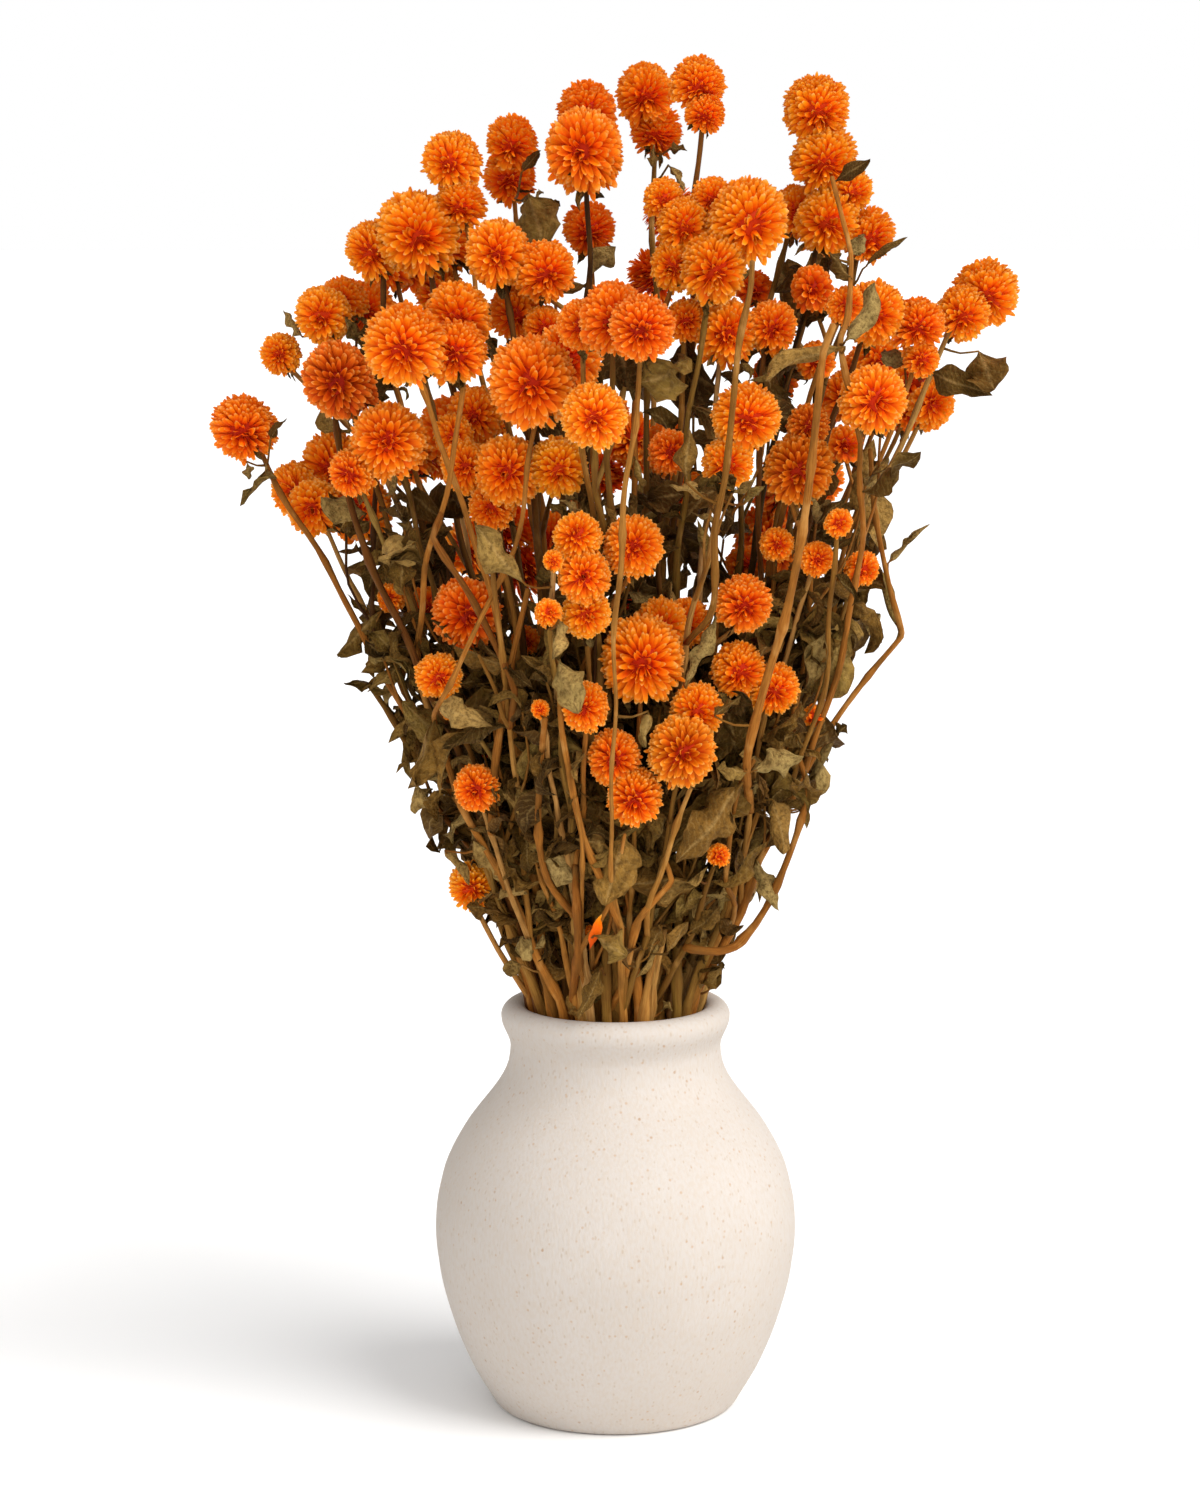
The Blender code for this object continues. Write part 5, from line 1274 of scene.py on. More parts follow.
def bract_finish():
    """Papery orange: deep red in the heart, partly the bracts' own colour and partly painted shade of the gaps,
    orange up the bract and pale at its tip, partly a painted highlight, with a yellow or red cast, a painted glint on
    some tips and painted shade on some heads.
    """
    made = Finish("dried_bracts", 0.55, 0.11)
    along, luck, tint, edge = made.shade()
    # Colour stops up the bract: the dark foot is partly the bracts' own deep red and partly painted shade of the gaps
    # between them, and the pale tip is partly their own paler tip and partly a painted highlight
    places = (0.0, 0.50, 0.72, 0.90, 1.0)
    orange = made.ramp(along, places, (0.50, 0.026, 0.0), (0.92, 0.102, 0.0), (1.0, 0.182, 0.0),
                       (1.0, 0.255, 0.003), (1.0, 0.430, 0.075))
    yellow = made.ramp(along, places, (0.62, 0.060, 0.0), (1.0, 0.180, 0.0), (1.0, 0.280, 0.001),
                       (1.0, 0.370, 0.010), (1.0, 0.540, 0.120))
    red = made.ramp(along, places, (0.34, 0.012, 0.0), (0.68, 0.044, 0.0), (0.88, 0.090, 0.0),
                    (0.97, 0.150, 0.003), (1.0, 0.300, 0.065))
    # The mark of the heads drawn darker, partly their own deeper colour and partly painted shade
    deep = made.span(tint, 1.4, 1.45)
    tint = made.math("SUBTRACT", tint, made.math("MULTIPLY", deep, DEEP_AND_SHADED_MARK))
    cast = made.math("ADD", tint, made.span(luck, 0, 1, -0.16, 0.16))
    colour = made.mix(made.span(cast, 0.5, 1.0), orange, yellow)
    colour = made.mix(made.span(cast, 0.5, 0.0), colour, red)
    veins = made.noise(made.stretched((9.0, 0.7, 1.0), grain=True), 3.0)
    colour = made.mix(made.span(veins, 0.40, 0.75, 0.0, 0.30), colour, (1.0, 0.72, 0.50), "MULTIPLY")
    colour = made.mix(made.span(edge, 0.4, 1.0, 0.0, 0.06), colour, (1.0, 0.50, 0.08), "SCREEN")
    # Painted highlight: a pale glint at the tips of some bracts
    painted_glint = made.math("MULTIPLY", made.span(along, 0.86, 1.0, 0.0, 0.42), made.span(luck, 0.45, 0.95))
    colour = made.mix(painted_glint, colour, (1.0, 0.62, 0.24))
    # Painted shade on the marked heads, together with their deeper colour, lighter towards the bract tips
    deep = made.math("MULTIPLY", deep, made.span(along, 0.70, 1.0, 1.0, 0.35))
    colour = made.mix(deep, colour, (0.72, 0.76, 0.52), "MULTIPLY")
    return made.finished(colour, made.bump(veins, 0.5, 0.0004))


def stem_finish():
    """Dry tan to olive stalk with long fibres and ridges, and darker and lighter patches."""
    made = Finish("dried_stems", 0.76, 0.12)
    _, luck, green, _ = made.shade()
    tan = made.ramp(luck, (0.0, 0.15, 0.35, 0.70, 0.90, 1.0), (0.050, 0.017, 0.003), (0.16, 0.052, 0.007),
                    (0.30, 0.102, 0.012), (0.43, 0.165, 0.024), (0.50, 0.235, 0.056), (0.58, 0.330, 0.125))
    olive = made.ramp(luck, (0.0, 0.15, 0.5, 1.0), (0.045, 0.022, 0.003), (0.12, 0.062, 0.008),
                      (0.22, 0.118, 0.018), (0.38, 0.230, 0.056))
    colour = made.mix(made.span(green, 0.35, 0.95), tan, olive)
    fibres = made.noise(made.stretched((7.0, 34.0, 1.0), grain=True), 2.4, 5.0, 0.6)
    patches = made.noise(made.stretched((1, 1, 0.5)), 85.0, 3.0, 0.6)
    colour = made.mix(made.span(fibres, 0.42, 0.66, 0.0, 0.75), colour, (0.50, 0.36, 0.20), "MULTIPLY")
    colour = made.mix(made.span(patches, 0.50, 0.66, 0.0, 0.65), colour, (0.15, 0.060, 0.009))
    lighter = made.math("MULTIPLY", made.span(patches, 0.44, 0.30, 0.0, 0.50), made.span(luck, 0.0, 0.40, 0.10, 1.0))
    colour = made.mix(lighter, colour, (0.60, 0.310, 0.085))
    return made.finished(colour, made.bump(fibres, 0.9, 0.0007))


def leaf_finish():
    """Crisp olive-brown leaf with a pale rib, side veins, blotches and scorched edges, and painted shade in the
    hollows of its crumple.
    """
    made = Finish("dried_leaves", 0.72, 0.12)
    _, luck, green, edge = made.shade()
    places = (0.0, 0.40, 0.75, 1.0)
    brown = made.ramp(luck, places, (0.045, 0.016, 0.002), (0.165, 0.066, 0.008), (0.34, 0.165, 0.028),
                      (0.56, 0.335, 0.095))
    olive = made.ramp(luck, places, (0.040, 0.019, 0.002), (0.145, 0.078, 0.009), (0.30, 0.186, 0.040),
                      (0.50, 0.345, 0.120))
    colour = made.mix(green, brown, olive)
    blotch = made.noise(made.stretched((1, 1, 1)), 120.0, 4.0, 0.6)
    crumple_and_crease_shade = made.noise(made.stretched((2.4, 2.4, 1.0), grain=True), 2.6, 4.0, 0.62)
    grain = made.stretched((2.0, 2.6, 1.0), grain=True)
    veins = made.add("TexWave", {"Vector": grain, "Scale": 1.3, "Distortion": 5.0, "Detail Scale": 2.0},
                     wave_type="BANDS", bands_direction="DIAGONAL").outputs["Fac"]
    for source, low, high, to_low, to_high, tone in (
            (blotch, 0.44, 0.74, 0.0, 0.7, (0.100, 0.045, 0.006)),
            (blotch, 0.40, 0.25, 0.0, 0.4, (0.42, 0.245, 0.070)),
            (edge, 0.75, 1.0, 0.0, 0.35, (0.20, 0.092, 0.016)),
            (edge, 0.14, 0.0, 0.0, 0.45, (0.48, 0.300, 0.100)),
            (veins, 0.0, 0.25, 0.18, 0.0, (0.42, 0.265, 0.085)),
            # Painted shade: darker where the crumple that bumps the leaf sinks in
            (crumple_and_crease_shade, 0.54, 0.36, 0.0, 0.62, (0.070, 0.030, 0.004))):
        colour = made.mix(made.span(source, low, high, to_low, to_high), colour, tone)
    return made.finished(colour, made.bump(crumple_and_crease_shade, 1.0, 0.0026, made.bump(veins, 0.30, 0.0004)))


def stoneware_finish():
    """Matte cream clay with an orange-peel skin, fine tan specks, pin pits and a faint warm cloud, and painted shade
    on its inside below the lip.
    """
    made = Finish("stoneware", 0.82, 0.20)
    place = made.stretched((1, 1, 1))
    inner = made.shade()[0]
    cloud = made.noise(place, 13.0, 3.0)
    colour = made.mix(made.span(cloud, 0.35, 0.70), (0.550, 0.503, 0.462), (0.513, 0.462, 0.415))
    grain = made.noise(made.stretched((1.0, 1.0, 0.36), (0.5, 0.45, 0.0)), 850.0, 2.0)
    colour = made.mix(made.span(grain, 0.40, 0.66, 0.0, 0.30), colour, (0.50, 0.400, 0.300))
    slant = made.stretched((1.0, 1.0, 0.45), (0.6, -0.5, 0.0))
    for where, scale, reach, share, tone in ((slant, 620.0, 0.17, 0.70, (0.43, 0.335, 0.245)),
                                             (place, 440.0, 0.17, 0.80, (0.45, 0.285, 0.165)),
                                             (place, 200.0, 0.085, 0.84, (0.36, 0.200, 0.095))):
        cells = made.add("TexVoronoi", {"Vector": where, "Scale": scale})
        chance = made.add("SeparateColor", [cells.outputs["Color"]]).outputs["Red"]
        spot = made.span(cells.outputs["Distance"], reach, reach * 2.0, 1.0, 0.0)
        chosen = made.math("MULTIPLY", spot, made.span(chance, share, share + 0.12))
        colour = made.mix(made.math("MULTIPLY", chosen, 0.55), colour, tone)
    # Painted shade: the inside of the vase goes dark where its first shade is low
    colour = made.mix(inner, (0.12, 0.085, 0.055), colour)
    swell = made.bump(made.noise(place, 48.0, 2.0), 0.15, 0.0014)
    return made.finished(colour, made.bump(grain, 0.45, 0.00040, swell))


# The vase's outside as radius and height, read down from under the lip, and its foot
LIP_ROLL = [(0.0489, 0.1686), (0.0482, 0.1664), (0.0472, 0.1642), (0.0461, 0.1617), (0.0454, 0.1594)]
OUTER_SIDE = [(0.0452, 0.1571), (0.0461, 0.1501), (0.0489, 0.1435), (0.0533, 0.1369), (0.0585, 0.1303),
              (0.0635, 0.1237), (0.0676, 0.1170), (0.0711, 0.1104), (0.0738, 0.1038), (0.0755, 0.0971),
              (0.0769, 0.0904), (0.0776, 0.0838), (0.0778, 0.0771), (0.0775, 0.0704), (0.0766, 0.0637),
              (0.0756, 0.0570), (0.0741, 0.0503), (0.0722, 0.0436), (0.0701, 0.0369), (0.0677, 0.0301),
              (0.0649, 0.0234), (0.0617, 0.0165), (0.0580, 0.0100), (0.0545, 0.0042)]
FOOT_ROUND = [(0.0533, 0.0021), (0.0521, 0.0008), (0.0507, 0.0001), (0.0495, 0.0), (0.030, 0.0), (0.0, 0.0)]
VASE_STEPS = 128
OUTER_STEP = 0.003
INNER_STEP = 0.006


def vase_rows():
    """The turned profile, finely: lip, outer side and foot, then the inner side, and where that one starts."""
    lip = []
    for degrees in range(200, 4, -12):
        angle = math.radians(degrees)
        lip.append((LIP_CENTRE + LIP_RADIUS * math.cos(angle),
                    VASE_HEIGHT - LIP_RADIUS + LIP_RADIUS * math.sin(angle)))
    outer = lip[-1:] + LIP_ROLL + OUTER_SIDE
    inner = [(0.0, FLOOR_THICKNESS)] + INNER_SIDE + lip[:1]
    outer, inner = (curve_through(row, np.ones(len(row)), step)[0]
                    for row, step in ((outer, OUTER_STEP), (inner, INNER_STEP)))
    rows = np.vstack([lip[:-1], outer, FOOT_ROUND, inner])
    return rows, len(rows) - len(inner)


def draw_vase(finish):
    """The vase turned from its fine profile, with the slight unevenness of a thrown pot."""
    rows, outer = vase_rows()
    angle = np.linspace(0, 2 * math.pi, VASE_STEPS, endpoint=False)
    drift = 1 + 0.0016 * np.sin(angle * 2 + 0.6)[None] * np.sin(rows[:, 1:] * 38) + 0.0008 * np.sin(angle * 5)[None]
    radius = rows[:, :1] * drift
    points = np.stack(np.broadcast_arrays(radius * np.cos(angle), radius * np.sin(angle), rows[:, 1:]), axis=-1)
    uv = np.stack(np.broadcast_arrays(angle[None] * 0.07, rows[:, 1:]), axis=-1)
    shade = np.ones((len(rows), VASE_STEPS, 4))
    # Painted shade: the inside of the vase is marked dark below the lip and light near it
    shade[outer:, :, 0] = np.interp(rows[outer:, 1:], [0.150, 0.171], [0.0, 1.0])
    patch = Patch()
    patch.add(points.reshape(-1, 3), uv.reshape(-1, 2), shade.reshape(-1, 4),
              grid(len(rows) - 1, VASE_STEPS, VASE_STEPS)[:, [0, 3, 2, 1]])
    vase = patch.piece("stoneware_vase", finish, "stoneware")
    shape = bmesh.new()
    shape.from_mesh(vase.data)
    bmesh.ops.remove_doubles(shape, verts=shape.verts, dist=0.00003)
    bmesh.ops.recalc_face_normals(shape, faces=shape.faces)
    shape.to_mesh(vase.data)
    shape.free()
    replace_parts(vase, "vase")


def draw_blooms(heads, finish, draw, numbers):
    """One piece for each bunch of heads."""
    for name in sorted({head.node for head in heads if not head.small}):
        bunch = [head for head in heads if head.node == name]
        tint = TINTS.get(name, draw.uniform(-0.15, 0.30))
        patch = Patch()
        for head in bunch:
            mates = [mate for mate in bunch if mate is not head]
            cast = TINTS.get((name, head.place), tint + draw.uniform(-0.25, 0.25))
            fine = BACK_SPACING if name.startswith("back_") else 1.0
            bracts(patch, head, mates, float(np.clip(cast, -1, 1)), draw, numbers, fine)
        piece = patch.piece("bracts_" + name, finish, "dried_bracts")
        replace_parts(piece, "bloom_" + name)


def draw_stem(wood, stem, draw):
    """A stem of the layout, bent, with its joints. Returns its path, sizes and the two numbers of its colour."""
    head = stem.head
    path, sizes = curve_through(stem.points, stem.radii, 0.006)
    reach = np.linalg.norm(path - path[-1], axis=1)
    path, joints = kinked(path + wobble(path) * np.clip(reach / 0.03, 0, 1)[:, None], draw)
    top = path[-1] + np.array(head.axis) * head.radius * (0.1 if head.small else 0.5)
    path = lean_out(np.vstack([path, top]))
    sizes = np.append(sizes, sizes[-1] * 0.9)
    luck, green = draw.random() ** 1.2, draw.random()
    neck = path[np.argmin(np.abs(path[:, 2] - 0.18))]
    # Painted shade: stems near the middle of the neck are coloured darker, for the shade deep in the bunch
    luck *= np.interp(np.hypot(neck[0], neck[1]), [0.015, 0.031], [0.02, 1.0])
    luck = STEM_LUCK.get((head.node, head.place), max(luck, 0.3) if head.small else luck)
    sizes = sizes * np.interp(path[:, 2], [0.18, 0.26, 0.45], [1.0, 0.84, 0.88])
    if (head.node, head.place) == ("centre_red", 0):
        sizes = sizes * np.interp(path[:, 2], [0.20, 0.23, 0.33, 0.37], [1.0, 0.62, 0.62, 1.0])
    tube(wood, path, sizes, STEM_SIDES, luck, green, draw, joints)
    return path, sizes, luck, green


def planned_leaf(foliage, leaf, crowd, draw):
    """A leaf of the layout, as long as it can be without hiding a head, or none."""
    root, tip = np.array(leaf.root), np.array(leaf.stations[-1][1])
    root = root + wobble(root[None])[0]
    for share in (1.04, 0.9, 0.75, 0.6, 0.4) if leaf.root[2] > 0.215 else (0.35, 0.3):
        scrap = Patch()
        points = blade(scrap, root, tip - root, leaf.side, leaf.length * share, leaf.length * LEAF_SHARE * 0.72, draw,
                       curl=draw.uniform(0.15, 1.5), rows=12, columns=6, lobes=0.07)
        if not crowd.hidden_by(points[-40:], 0.88):
            return foliage.take(scrap)


def draw_sprays(heads, stems, leaves, stalk_finish, blade_finish, petal_finish, draw, numbers):
    """Each spray's stems with their side twigs, its leaves and its small heads, then what fills the bunch."""
    crowd = Crowd(heads)
    every_path = []

    def pieces(name, *patches):
        finishes = (("stems_", stalk_finish, "dried_stems"), ("leaves_", blade_finish, "dried_stems"),
                    (("bracts_" if name == "inner" else "buds_"), petal_finish, "dried_bracts"))
        return [patch.piece(kind + name, finish, slot) for patch, (kind, finish, slot) in zip(patches, finishes)
                if patch.size]

    for spray in sorted({stem.spray for stem in stems}):
        wood, foliage, buds = Patch(), Patch(), Patch()
        paths = []
        for stem in stems:
            if stem.spray == spray:
                paths.append(draw_stem(wood, stem, draw))
                calyx(foliage, stem.head, draw)
                if stem.head.small:
                    bracts(buds, stem.head, [], draw.uniform(-0.2, 0.5), draw, numbers)
        twigs(wood, foliage, paths, crowd, draw)
        shoots(wood, foliage, paths[0][0], crowd, draw)
        for leaf in leaves:
            if leaf.spray == spray:
                planned_leaf(foliage, leaf, crowd, draw)
        foliage_by_rule(foliage, paths, crowd, draw)
        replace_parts(pieces(spray, wood, foliage, buds)[0], spray)
        every_path += paths
    wood, foliage, buds = Patch(), Patch(), Patch()
    hidden_heads(wood, foliage, buds, every_path, crowd, draw, numbers)
    every_path += placed_stems(wood, every_path, crowd, draw)
    placed_leaves(wood, foliage, every_path, crowd, draw)
    loose_bract(buds, draw)
    gap_leaves(foliage, every_path, crowd, draw)
    pieces("inner", wood, foliage, buds)


def placed(x, z, depth):
    """The point at a depth in the bunch that shows at this place, in millimetres on the axis plane."""
    flat = seen(x * MM, z * MM, 0.0)
    near = front_depth(flat.x, flat.z)
    if flat.z < 0.25:
        rim = np.interp(flat.z, [0.170, 0.178, 0.190, 0.205, 0.240], [0.029, 0.036, 0.046, 0.054, 0.068])
        near = min(near, -rim * math.sqrt(max(0.3, 1 - (flat.x / 0.060) ** 2)))
    return np.array(seen(x * MM, z * MM, near * (1 - 2 * depth)))


def placed_stems(wood, paths, crowd, draw):
    """The stems that stand out, each leaving the nearest one below or rising from the vase."""
    spots = np.concatenate([path[2:-2] for path, *_ in paths])
    added = []
    for places, first, last, depth in PLACED_STEMS:
        points = [placed(x, z, depth) for x, z in places]
        upward = points[-1][2] > points[0][2]
        if points[0][2] > VASE_HEIGHT + FROM_MOUTH:
            order = np.arange(len(points))
            depths = np.polyval(np.polyfit(order, [point[1] for point in points], 2), order)
            points = [np.array(seen(x * MM, z * MM, y)) for (x, z), y in zip(places, depths)]
        end = points[-1] + np.array([0, 0, 0.010 if upward else -0.004])
        top = nearest(spots, end)
        if np.linalg.norm(top - end) < JOIN:
            points.append(top)
        if points[0][2] < VASE_HEIGHT + FROM_MOUTH:
            start = points[0] * np.array([0.9, 0.8, 0.0]) + np.array([0, 0, INSIDE_HEIGHT])
        else:
            before = min(0.030, 0.3 * np.linalg.norm(points[-1] - points[0])) if upward else -0.012
            start = nearest(spots, points[0] - np.array([0, 0, before]))
        for _ in range(CLEAR_TURNS):
            line, widths = curve_through([start] + points, np.linspace(first, last, len(points) + 1) * MM, STALK_STEP)
            hit = [not crowd.misses(line[np.linalg.norm(line - point, axis=1) < NEAR_POINT], 1.0)
                   for point in points[1:-1]]
            if not any(hit):
                break
            points = [point + to_eye(point) * CLEAR_STEP * push
                      for point, push in zip(points, [False] + hit + [False])]
        tube(wood, line, widths, STEM_SIDES, draw.uniform(0.25, 0.70), draw.uniform(0, 0.8), draw)
        added.append((line, widths, 0.5, 0.5))
    return added


def placed_leaves(wood, foliage, paths, crowd, draw):
    """The leaves that stand out, each on a short stalk from the nearest stem."""
    spots = np.concatenate([path[2:] for path, *_ in paths])
    for root_x, root_z, tip_x, tip_z, width, depth in PLACED_LEAVES:
        root = placed(root_x, root_z, depth)
        tip = np.array(seen(tip_x * MM, tip_z * MM, root[1] + draw.uniform(-0.005, 0.004)))
        toward = to_eye(root)
        palest, flat = (0.7, 0.6) if width > WIDE_LEAF else (1.0, 1.0)
        for _ in range(6):
            scrap = Patch()
            way = tip - root
            side = np.cross(unit(way), toward) + toward * draw.uniform(-0.45, 0.45)
            # Painted shade: leaves set further back may take darker colours than those in front
            points = blade(scrap, root, way, side, np.linalg.norm(way) * 1.15, width * MM * 0.78, draw,
                           curl=draw.uniform(0.1, 0.8), rows=14, columns=6, lobes=0.03,
                           luck=draw.uniform(0.45 if depth <= 0.05 else 0.15, palest),
                           shut=draw.uniform(0.6, 1.0) * flat)
            if crowd.misses(points, LEAF_CLEAR):
                break
            root, tip = root + toward * 0.004, tip + toward * 0.004
        foliage.take(scrap)
        near = nearest(spots, root - np.array([0, 0, 0.004]))
        middle = (near + root) / 2 + np.array([0, 0, -0.1 * np.linalg.norm(near - root)])
        line, widths = curve_through([near, middle, root, root + way * 0.12], np.array([0.7, 0.5, 0.45, 0.3]) * MM,
                                     STALK_STEP)
        tube(wood, line, widths, TWIG_SIDES, draw.uniform(0.1, 0.5), draw.uniform(0.4, 1), draw)


def loose_bract(buds, draw):
    """The fallen orange bract over the vase's mouth."""
    root_x, root_z, tip_x, tip_z, width, depth = LOOSE_BRACT
    root, tip = placed(root_x, root_z, depth), placed(tip_x, tip_z, depth)
    blade(buds, root, tip - root, np.cross(unit(tip - root), to_eye(root)), np.linalg.norm(tip - root) * 1.15,
          width * MM * 0.34, draw, curl=0.2, rows=12, columns=6, luck=0.2, shut=0.5)


def hidden_heads(wood, foliage, buds, every_path, crowd, draw, numbers):
    """The half hidden heads, each on a twig from the stem that passes nearest below it."""
    for x, z, radius, depth in HIDDEN_HEADS:
        centre = placed(x, z, depth)
        radius *= MM
        if (np.linalg.norm(crowd.centres - centre, axis=1) - crowd.radii).min() < 0.6 * radius:
            continue
        best = None
        for path, sizes, *_ in every_path:
            for row in range(2, len(path) - 3):
                drop = centre[2] - path[row][2]
                if 0.02 < drop < 0.09:
                    away = math.hypot(*(path[row][:2] - centre[:2])) + 0.3 * abs(drop - 0.045)
                    if best is None or away < best[0]:
                        best = (away, path[row], unit(path[row + 1] - path[row]), sizes[row])
        _, start, way, thick = best
        axis = unit(unit(centre - start) + np.array([0, 0, 0.8]))
        foot = centre - axis * radius * 0.5
        line, widths = curve_through([start, start + way * 0.4 * np.linalg.norm(foot - start), foot],
                                     [thick * 0.6, 0.0011, 0.0010], TWIG_STEP)
        tube(wood, line, widths, TWIG_SIDES, draw.uniform(0, 0.6), draw.random(), draw)
        head = Head("hidden", Vector(centre), radius)
        head.axis = Vector(axis)
        calyx(foliage, head, draw)
        bracts(buds, head, [], draw.uniform(-0.6, 0.1), draw, numbers, HIDDEN_SPACING)


def calyx(foliage, head, draw):
    """The pair of small leaves that sits right under a head, and sometimes a scrap more."""
    axis = np.array(head.axis)
    pole = np.array(head.centre) - axis * head.radius * (0.75 if head.small else 0.80)
    turn = draw.uniform(*ROUND)
    across, upright = square_to(axis, [0.2, 0.9, 0.3])
    for number in range(draw.choice([2, 2, 3, 4])):
        angle = turn + math.pi * number + draw.uniform(-0.5, 0.5)
        out = across * math.cos(angle) + upright * math.sin(angle)
        way = out * draw.uniform(0.6, 1.0) - axis * draw.uniform(-0.1, 0.9)
        length = max(0.005, head.radius * draw.uniform(0.50, 0.95))
        blade(foliage, pole, way, np.cross(axis, out), length, length * draw.uniform(0.20, 0.32), draw,
              curl=draw.uniform(-0.6, 1.0), rows=7)


def shoots(wood, foliage, trunk, crowd, draw):
    """Short leafy and broken stems beside the spray's own, all leaving its trunk inside the vase."""
    angle = math.atan2(*reversed(trunk[0][:2]))
    opening = LIP_CENTRE - LIP_RADIUS - TRUNK_RADIUS
    for _ in range(SHOOTS_A_SPRAY):
        turn = angle + draw.uniform(-0.32, 0.32)
        reach = draw.choice([0.97, 0.97, 0.8, 0.6, 0.35])
        height = draw.uniform(*SHOOT_HEIGHTS)
        points = [trunk[np.argmin(np.abs(trunk[:, 2] - draw.uniform(0.04, 0.09)))]]
        for z, share, depth in ((0.150, opening * 0.97, 1), (0.176, opening * 1.09, 1),
                                (height, half_width(height) * draw.uniform(0.80, 0.93), DEPTH_SHARE)):
            points.append(np.array([share * reach * math.cos(turn), share * reach * math.sin(turn) * depth, z]))
        thick = draw.uniform(*SHOOT_RADII)
        line, widths = curve_through(points, [thick, thick, thick * 0.9, thick * draw.choice([0.25, 0.3, 0.6])],
                                     TWIG_STEP)
        line = line + wobble(line) * 1.3
        if not crowd.misses(line, STEM_CLEAR):
            continue
        tube(wood, line, widths, STEM_SIDES, draw.uniform(0.2, 1.0), draw.random(), draw)
        for _ in range(draw.choice([1, 2, 3])):
            row = draw.randrange(int(len(line) * 0.72), len(line))
            for way in (turn - 1.3, turn + 1.3):
                out = unit(np.array([math.cos(way), math.sin(way), draw.uniform(-0.3, 0.7)]))
                size = draw.uniform(0.012, 0.028)
                blade(foliage, line[row], out, np.cross(out, [0.1, 0.2, 1.0]), size, size * draw.uniform(0.2, 0.34),
                      draw, luck=draw.random(), lobes=0.08)


def twigs(wood, foliage, paths, crowd, draw):
    """Thin side twigs that leave the stems, carry leaves and end below the heads."""
    starts = []
    for _ in range(TWIG_TURNS):
        if len(starts) >= TWIGS_A_SPRAY:
            break
        path, sizes, luck, green = draw.choice(paths)
        rows = [row for row in range(2, len(path) - 3) if TWIG_HEIGHTS[0] < path[row][2] < TWIG_HEIGHTS[1]]
        if not rows:
            continue
        row = draw.choice(rows)
        start = path[row]
        way = unit(path[row + 1] - path[row])
        out = unit(np.array([start[0], start[1], 0.0]) + np.array([draw.gauss(0, 0.05), draw.gauss(0, 0.05), 0]))
        length = draw.uniform(*TWIG_LENGTHS)
        bend = unit(way + 0.55 * out)
        points = [start, start + bend * length * 0.5, start + unit(bend + way) * length]
        line, widths = curve_through(points, [sizes[row] * 0.62, sizes[row] * 0.5, TWIG_TIP], TWIG_STEP)
        line = line + wobble(line) * np.linspace(0, 0.8, len(line))[:, None]
        tip = line[-1]
        if tip[2] > crowd.top or share_out(tip) > 0.95:
            continue
        if not crowd.misses(line, STEM_CLEAR) or crowd.hidden_by(line, UNHIDDEN):
            continue
        if any(np.linalg.norm(start - other) < TWIG_APART for other in starts):
            continue
        starts.append(start)
        tube(wood, line, widths, TWIG_SIDES, luck * 0.7, green, draw)
        side = unit(np.cross(bend, [0.1, 0.2, 1.0]))
        for share in (-1.0, 1.0):
            blade(foliage, tip, bend + share * side * 0.8, np.cross(bend, side), draw.uniform(0.010, 0.022),
                  draw.uniform(0.0030, 0.0060), draw, lobes=0.1)


def foliage_by_rule(foliage, paths, crowd, draw):
    """Pairs of curled leaves up each stem, thickest low in the bunch."""
    made = 0
    for _ in range(RULE_TURNS):
        if made >= LEAVES_A_SPRAY:
            break
        path = draw.choice(paths)[0]
        rows = [row for row in range(1, len(path) - 2) if path[row][2] > RULE_LOWEST]
        if not rows:
            continue
        row = draw.choice(rows)
        root = path[row]
        if root[2] > 0.19 + (0.24 * draw.random() ** 0.8 if draw.random() < 0.78 else 0.33):
            continue
        stalk = unit(path[row + 1] - path[row])
        turn = draw.uniform(*ROUND)
        across, upright = square_to(stalk, [0.3, 0.8, 0.1])
        size = draw.uniform(*RULE_LENGTHS) * (1.0 if root[2] < 0.36 else 0.7)
        for angle in (turn, turn + math.pi):
            out = across * math.cos(angle) + upright * math.sin(angle)
            way = out * draw.uniform(0.5, 1.0) + stalk * draw.uniform(-0.7, 0.9)
            scrap = Patch()
            # Painted shade: leaves nearer the bunch's axis are coloured darker
            points = blade(scrap, root, way, np.cross(stalk, out), size, size * draw.uniform(*RULE_WIDTHS), draw,
                           luck=draw.random() * min(1.0, 0.05 + share_out(root)), lobes=draw.uniform(0.0, 0.10))
            span = np.hypot(points[:, 0], points[:, 1] / DEPTH_SHARE).max()
            if points[:, 2].min() < VASE_HEIGHT + 0.001 or span > half_width(points[:, 2].mean()) * 1.02:
                continue
            if crowd.misses(points, LEAF_CLEAR) and not crowd.hidden_by(points, UNHIDDEN):
                foliage.take(scrap)
                made += 1


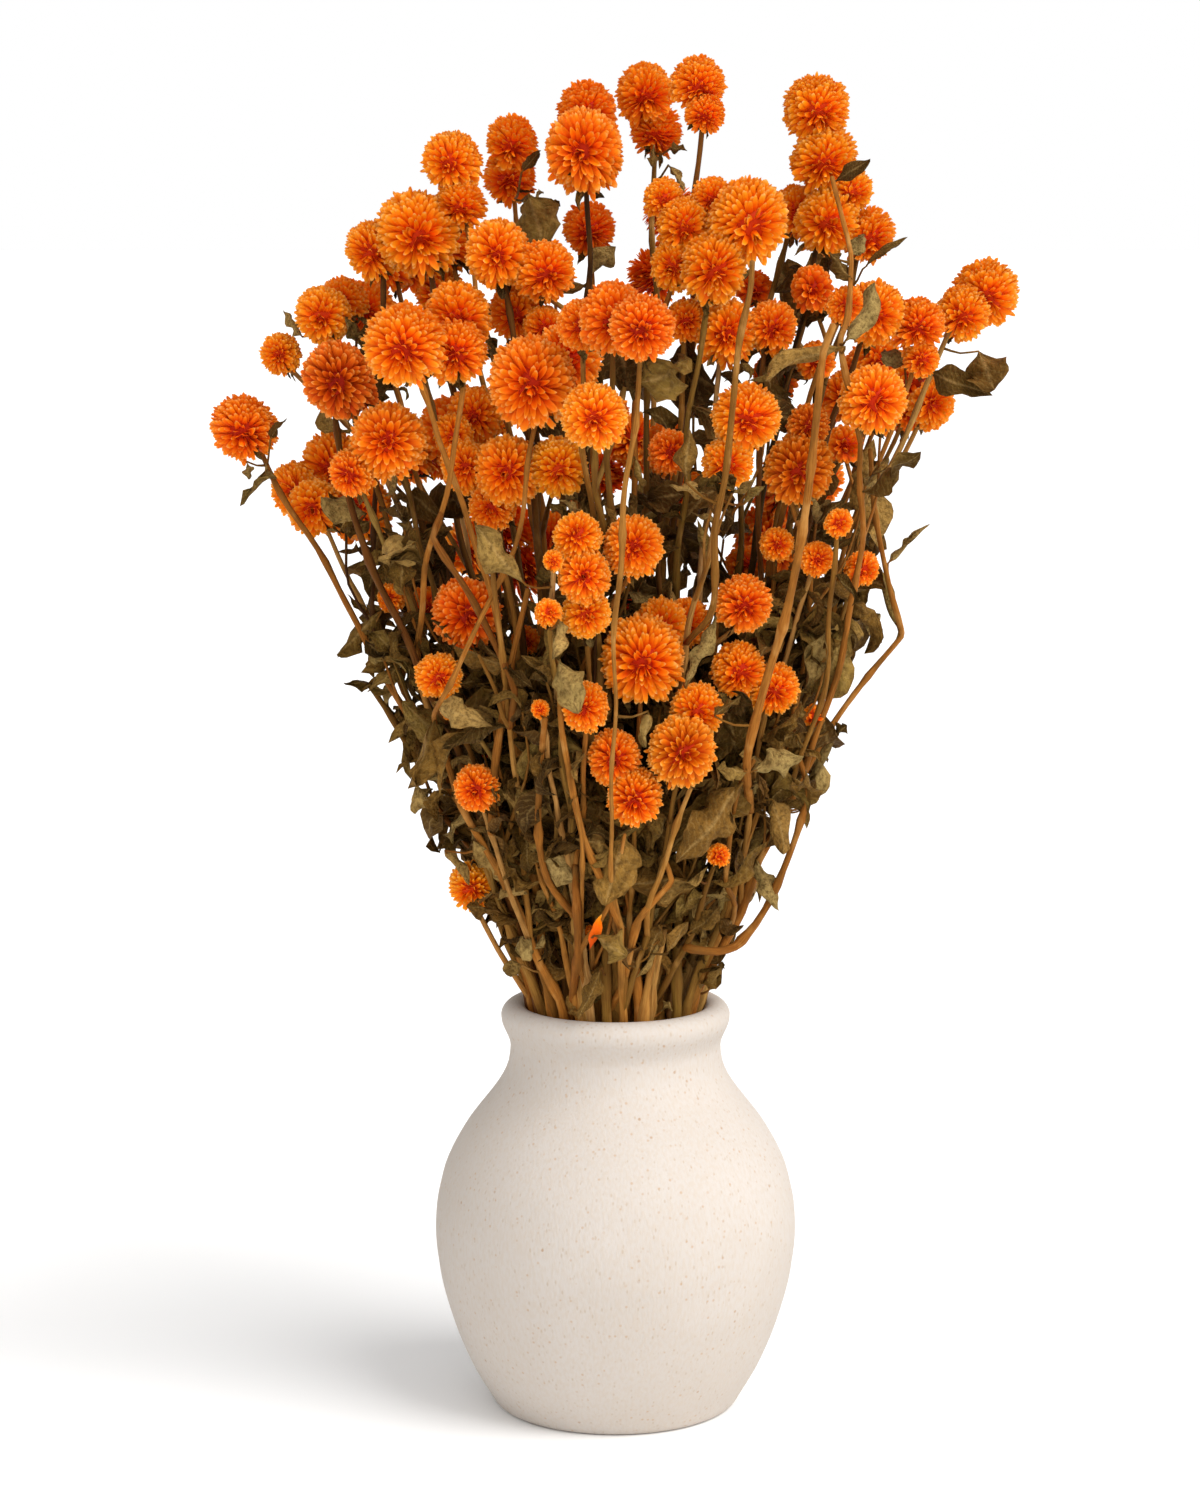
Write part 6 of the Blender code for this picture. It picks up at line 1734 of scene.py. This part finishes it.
def gap_leaves(foliage, paths, crowd, draw):
    """Leaves among the stalks in the middle of the bunch, coloured dark as painted shade of its inside."""
    made = 0
    for _ in range(GAP_TURNS):
        if made >= GAP_LEAVES:
            break
        path = draw.choice(paths)[0]
        root = path[draw.randrange(2, len(path))]
        if not GAP_HEIGHTS[0] < root[2] < GAP_HEIGHTS[1] or share_out(root) > GAP_OUTMOST:
            continue
        way = np.array([draw.gauss(0, 1), draw.gauss(0, 0.6), draw.gauss(0, 0.8)])
        size = draw.uniform(*GAP_LENGTHS)
        scrap = Patch()
        # Painted shade: these leaves take only the darkest leaf colours
        points = blade(scrap, root, way, np.array([draw.gauss(0, 1), 0.2, draw.gauss(0, 1)]), size,
                       size * draw.uniform(*GAP_WIDTHS), draw, rows=7, luck=draw.uniform(0, 0.35), shut=0.6)
        if crowd.misses(points, LEAF_CLEAR) and not crowd.hidden_by(points, UNHIDDEN):
            foliage.take(scrap)
            made += 1


def draw_stage():
    """Pale floor under a white world, soft light from the right, and the camera of the photograph."""
    mesh = bpy.data.meshes.new("floor")
    mesh.from_pydata([(-40, -12, 0), (40, -12, 0), (40, 70, 0), (-40, 70, 0)], [], [(0, 1, 2, 3)])
    mesh.materials.append(Finish("pale_floor", 0.9, 0.1).finished((0.93, 0.93, 0.93)))
    new_object("floor", mesh)
    scene = bpy.context.scene
    world = scene.world = bpy.data.worlds.new("studio")
    world.use_nodes = True
    nodes, links = world.node_tree.nodes, world.node_tree.links
    light = nodes["Background"]
    light.inputs["Color"].default_value = (1.0, 1.0, 1.0, 1)
    strength = nodes.new("ShaderNodeMapRange")
    strength.inputs["To Min"].default_value = WORLD_LIGHT
    strength.inputs["To Max"].default_value = WORLD_SEEN
    links.new(nodes.new("ShaderNodeLightPath").outputs["Is Camera Ray"], strength.inputs["Value"])
    links.new(strength.outputs["Result"], light.inputs["Strength"])
    for name, way, angle, power, colour in LAMPS:
        lamp = bpy.data.lights.new(name, "SUN")
        lamp.angle, lamp.energy, lamp.color = math.radians(angle), power, colour
        new_object(name, lamp, Vector(way) * 2, (-Vector(way)).to_track_quat("-Z", "Y").to_euler())
    camera = bpy.data.cameras.new("camera")
    camera.lens, camera.shift_x, camera.clip_end = EYE_FOCAL, EYE_SHIFT, 200
    camera.sensor_fit, camera.sensor_height = "VERTICAL", 36.0
    scene.camera = new_object("camera", camera, EYE, (math.radians(90 - EYE_PITCH), 0, 0))
    scene.view_settings.view_transform = "Standard"
    scene.view_settings.look = "None"


def main():
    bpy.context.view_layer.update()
    draw = random.Random(SEED)
    heads, stems, leaves = plan_bunch()
    numbers = np.random.default_rng(SEED)
    petals, stalks, blades = bract_finish(), stem_finish(), leaf_finish()
    draw_vase(stoneware_finish())
    draw_blooms(heads, petals, draw, numbers)
    draw_sprays(heads, stems, leaves, stalks, blades, petals, draw, numbers)
    draw_stage()


main()
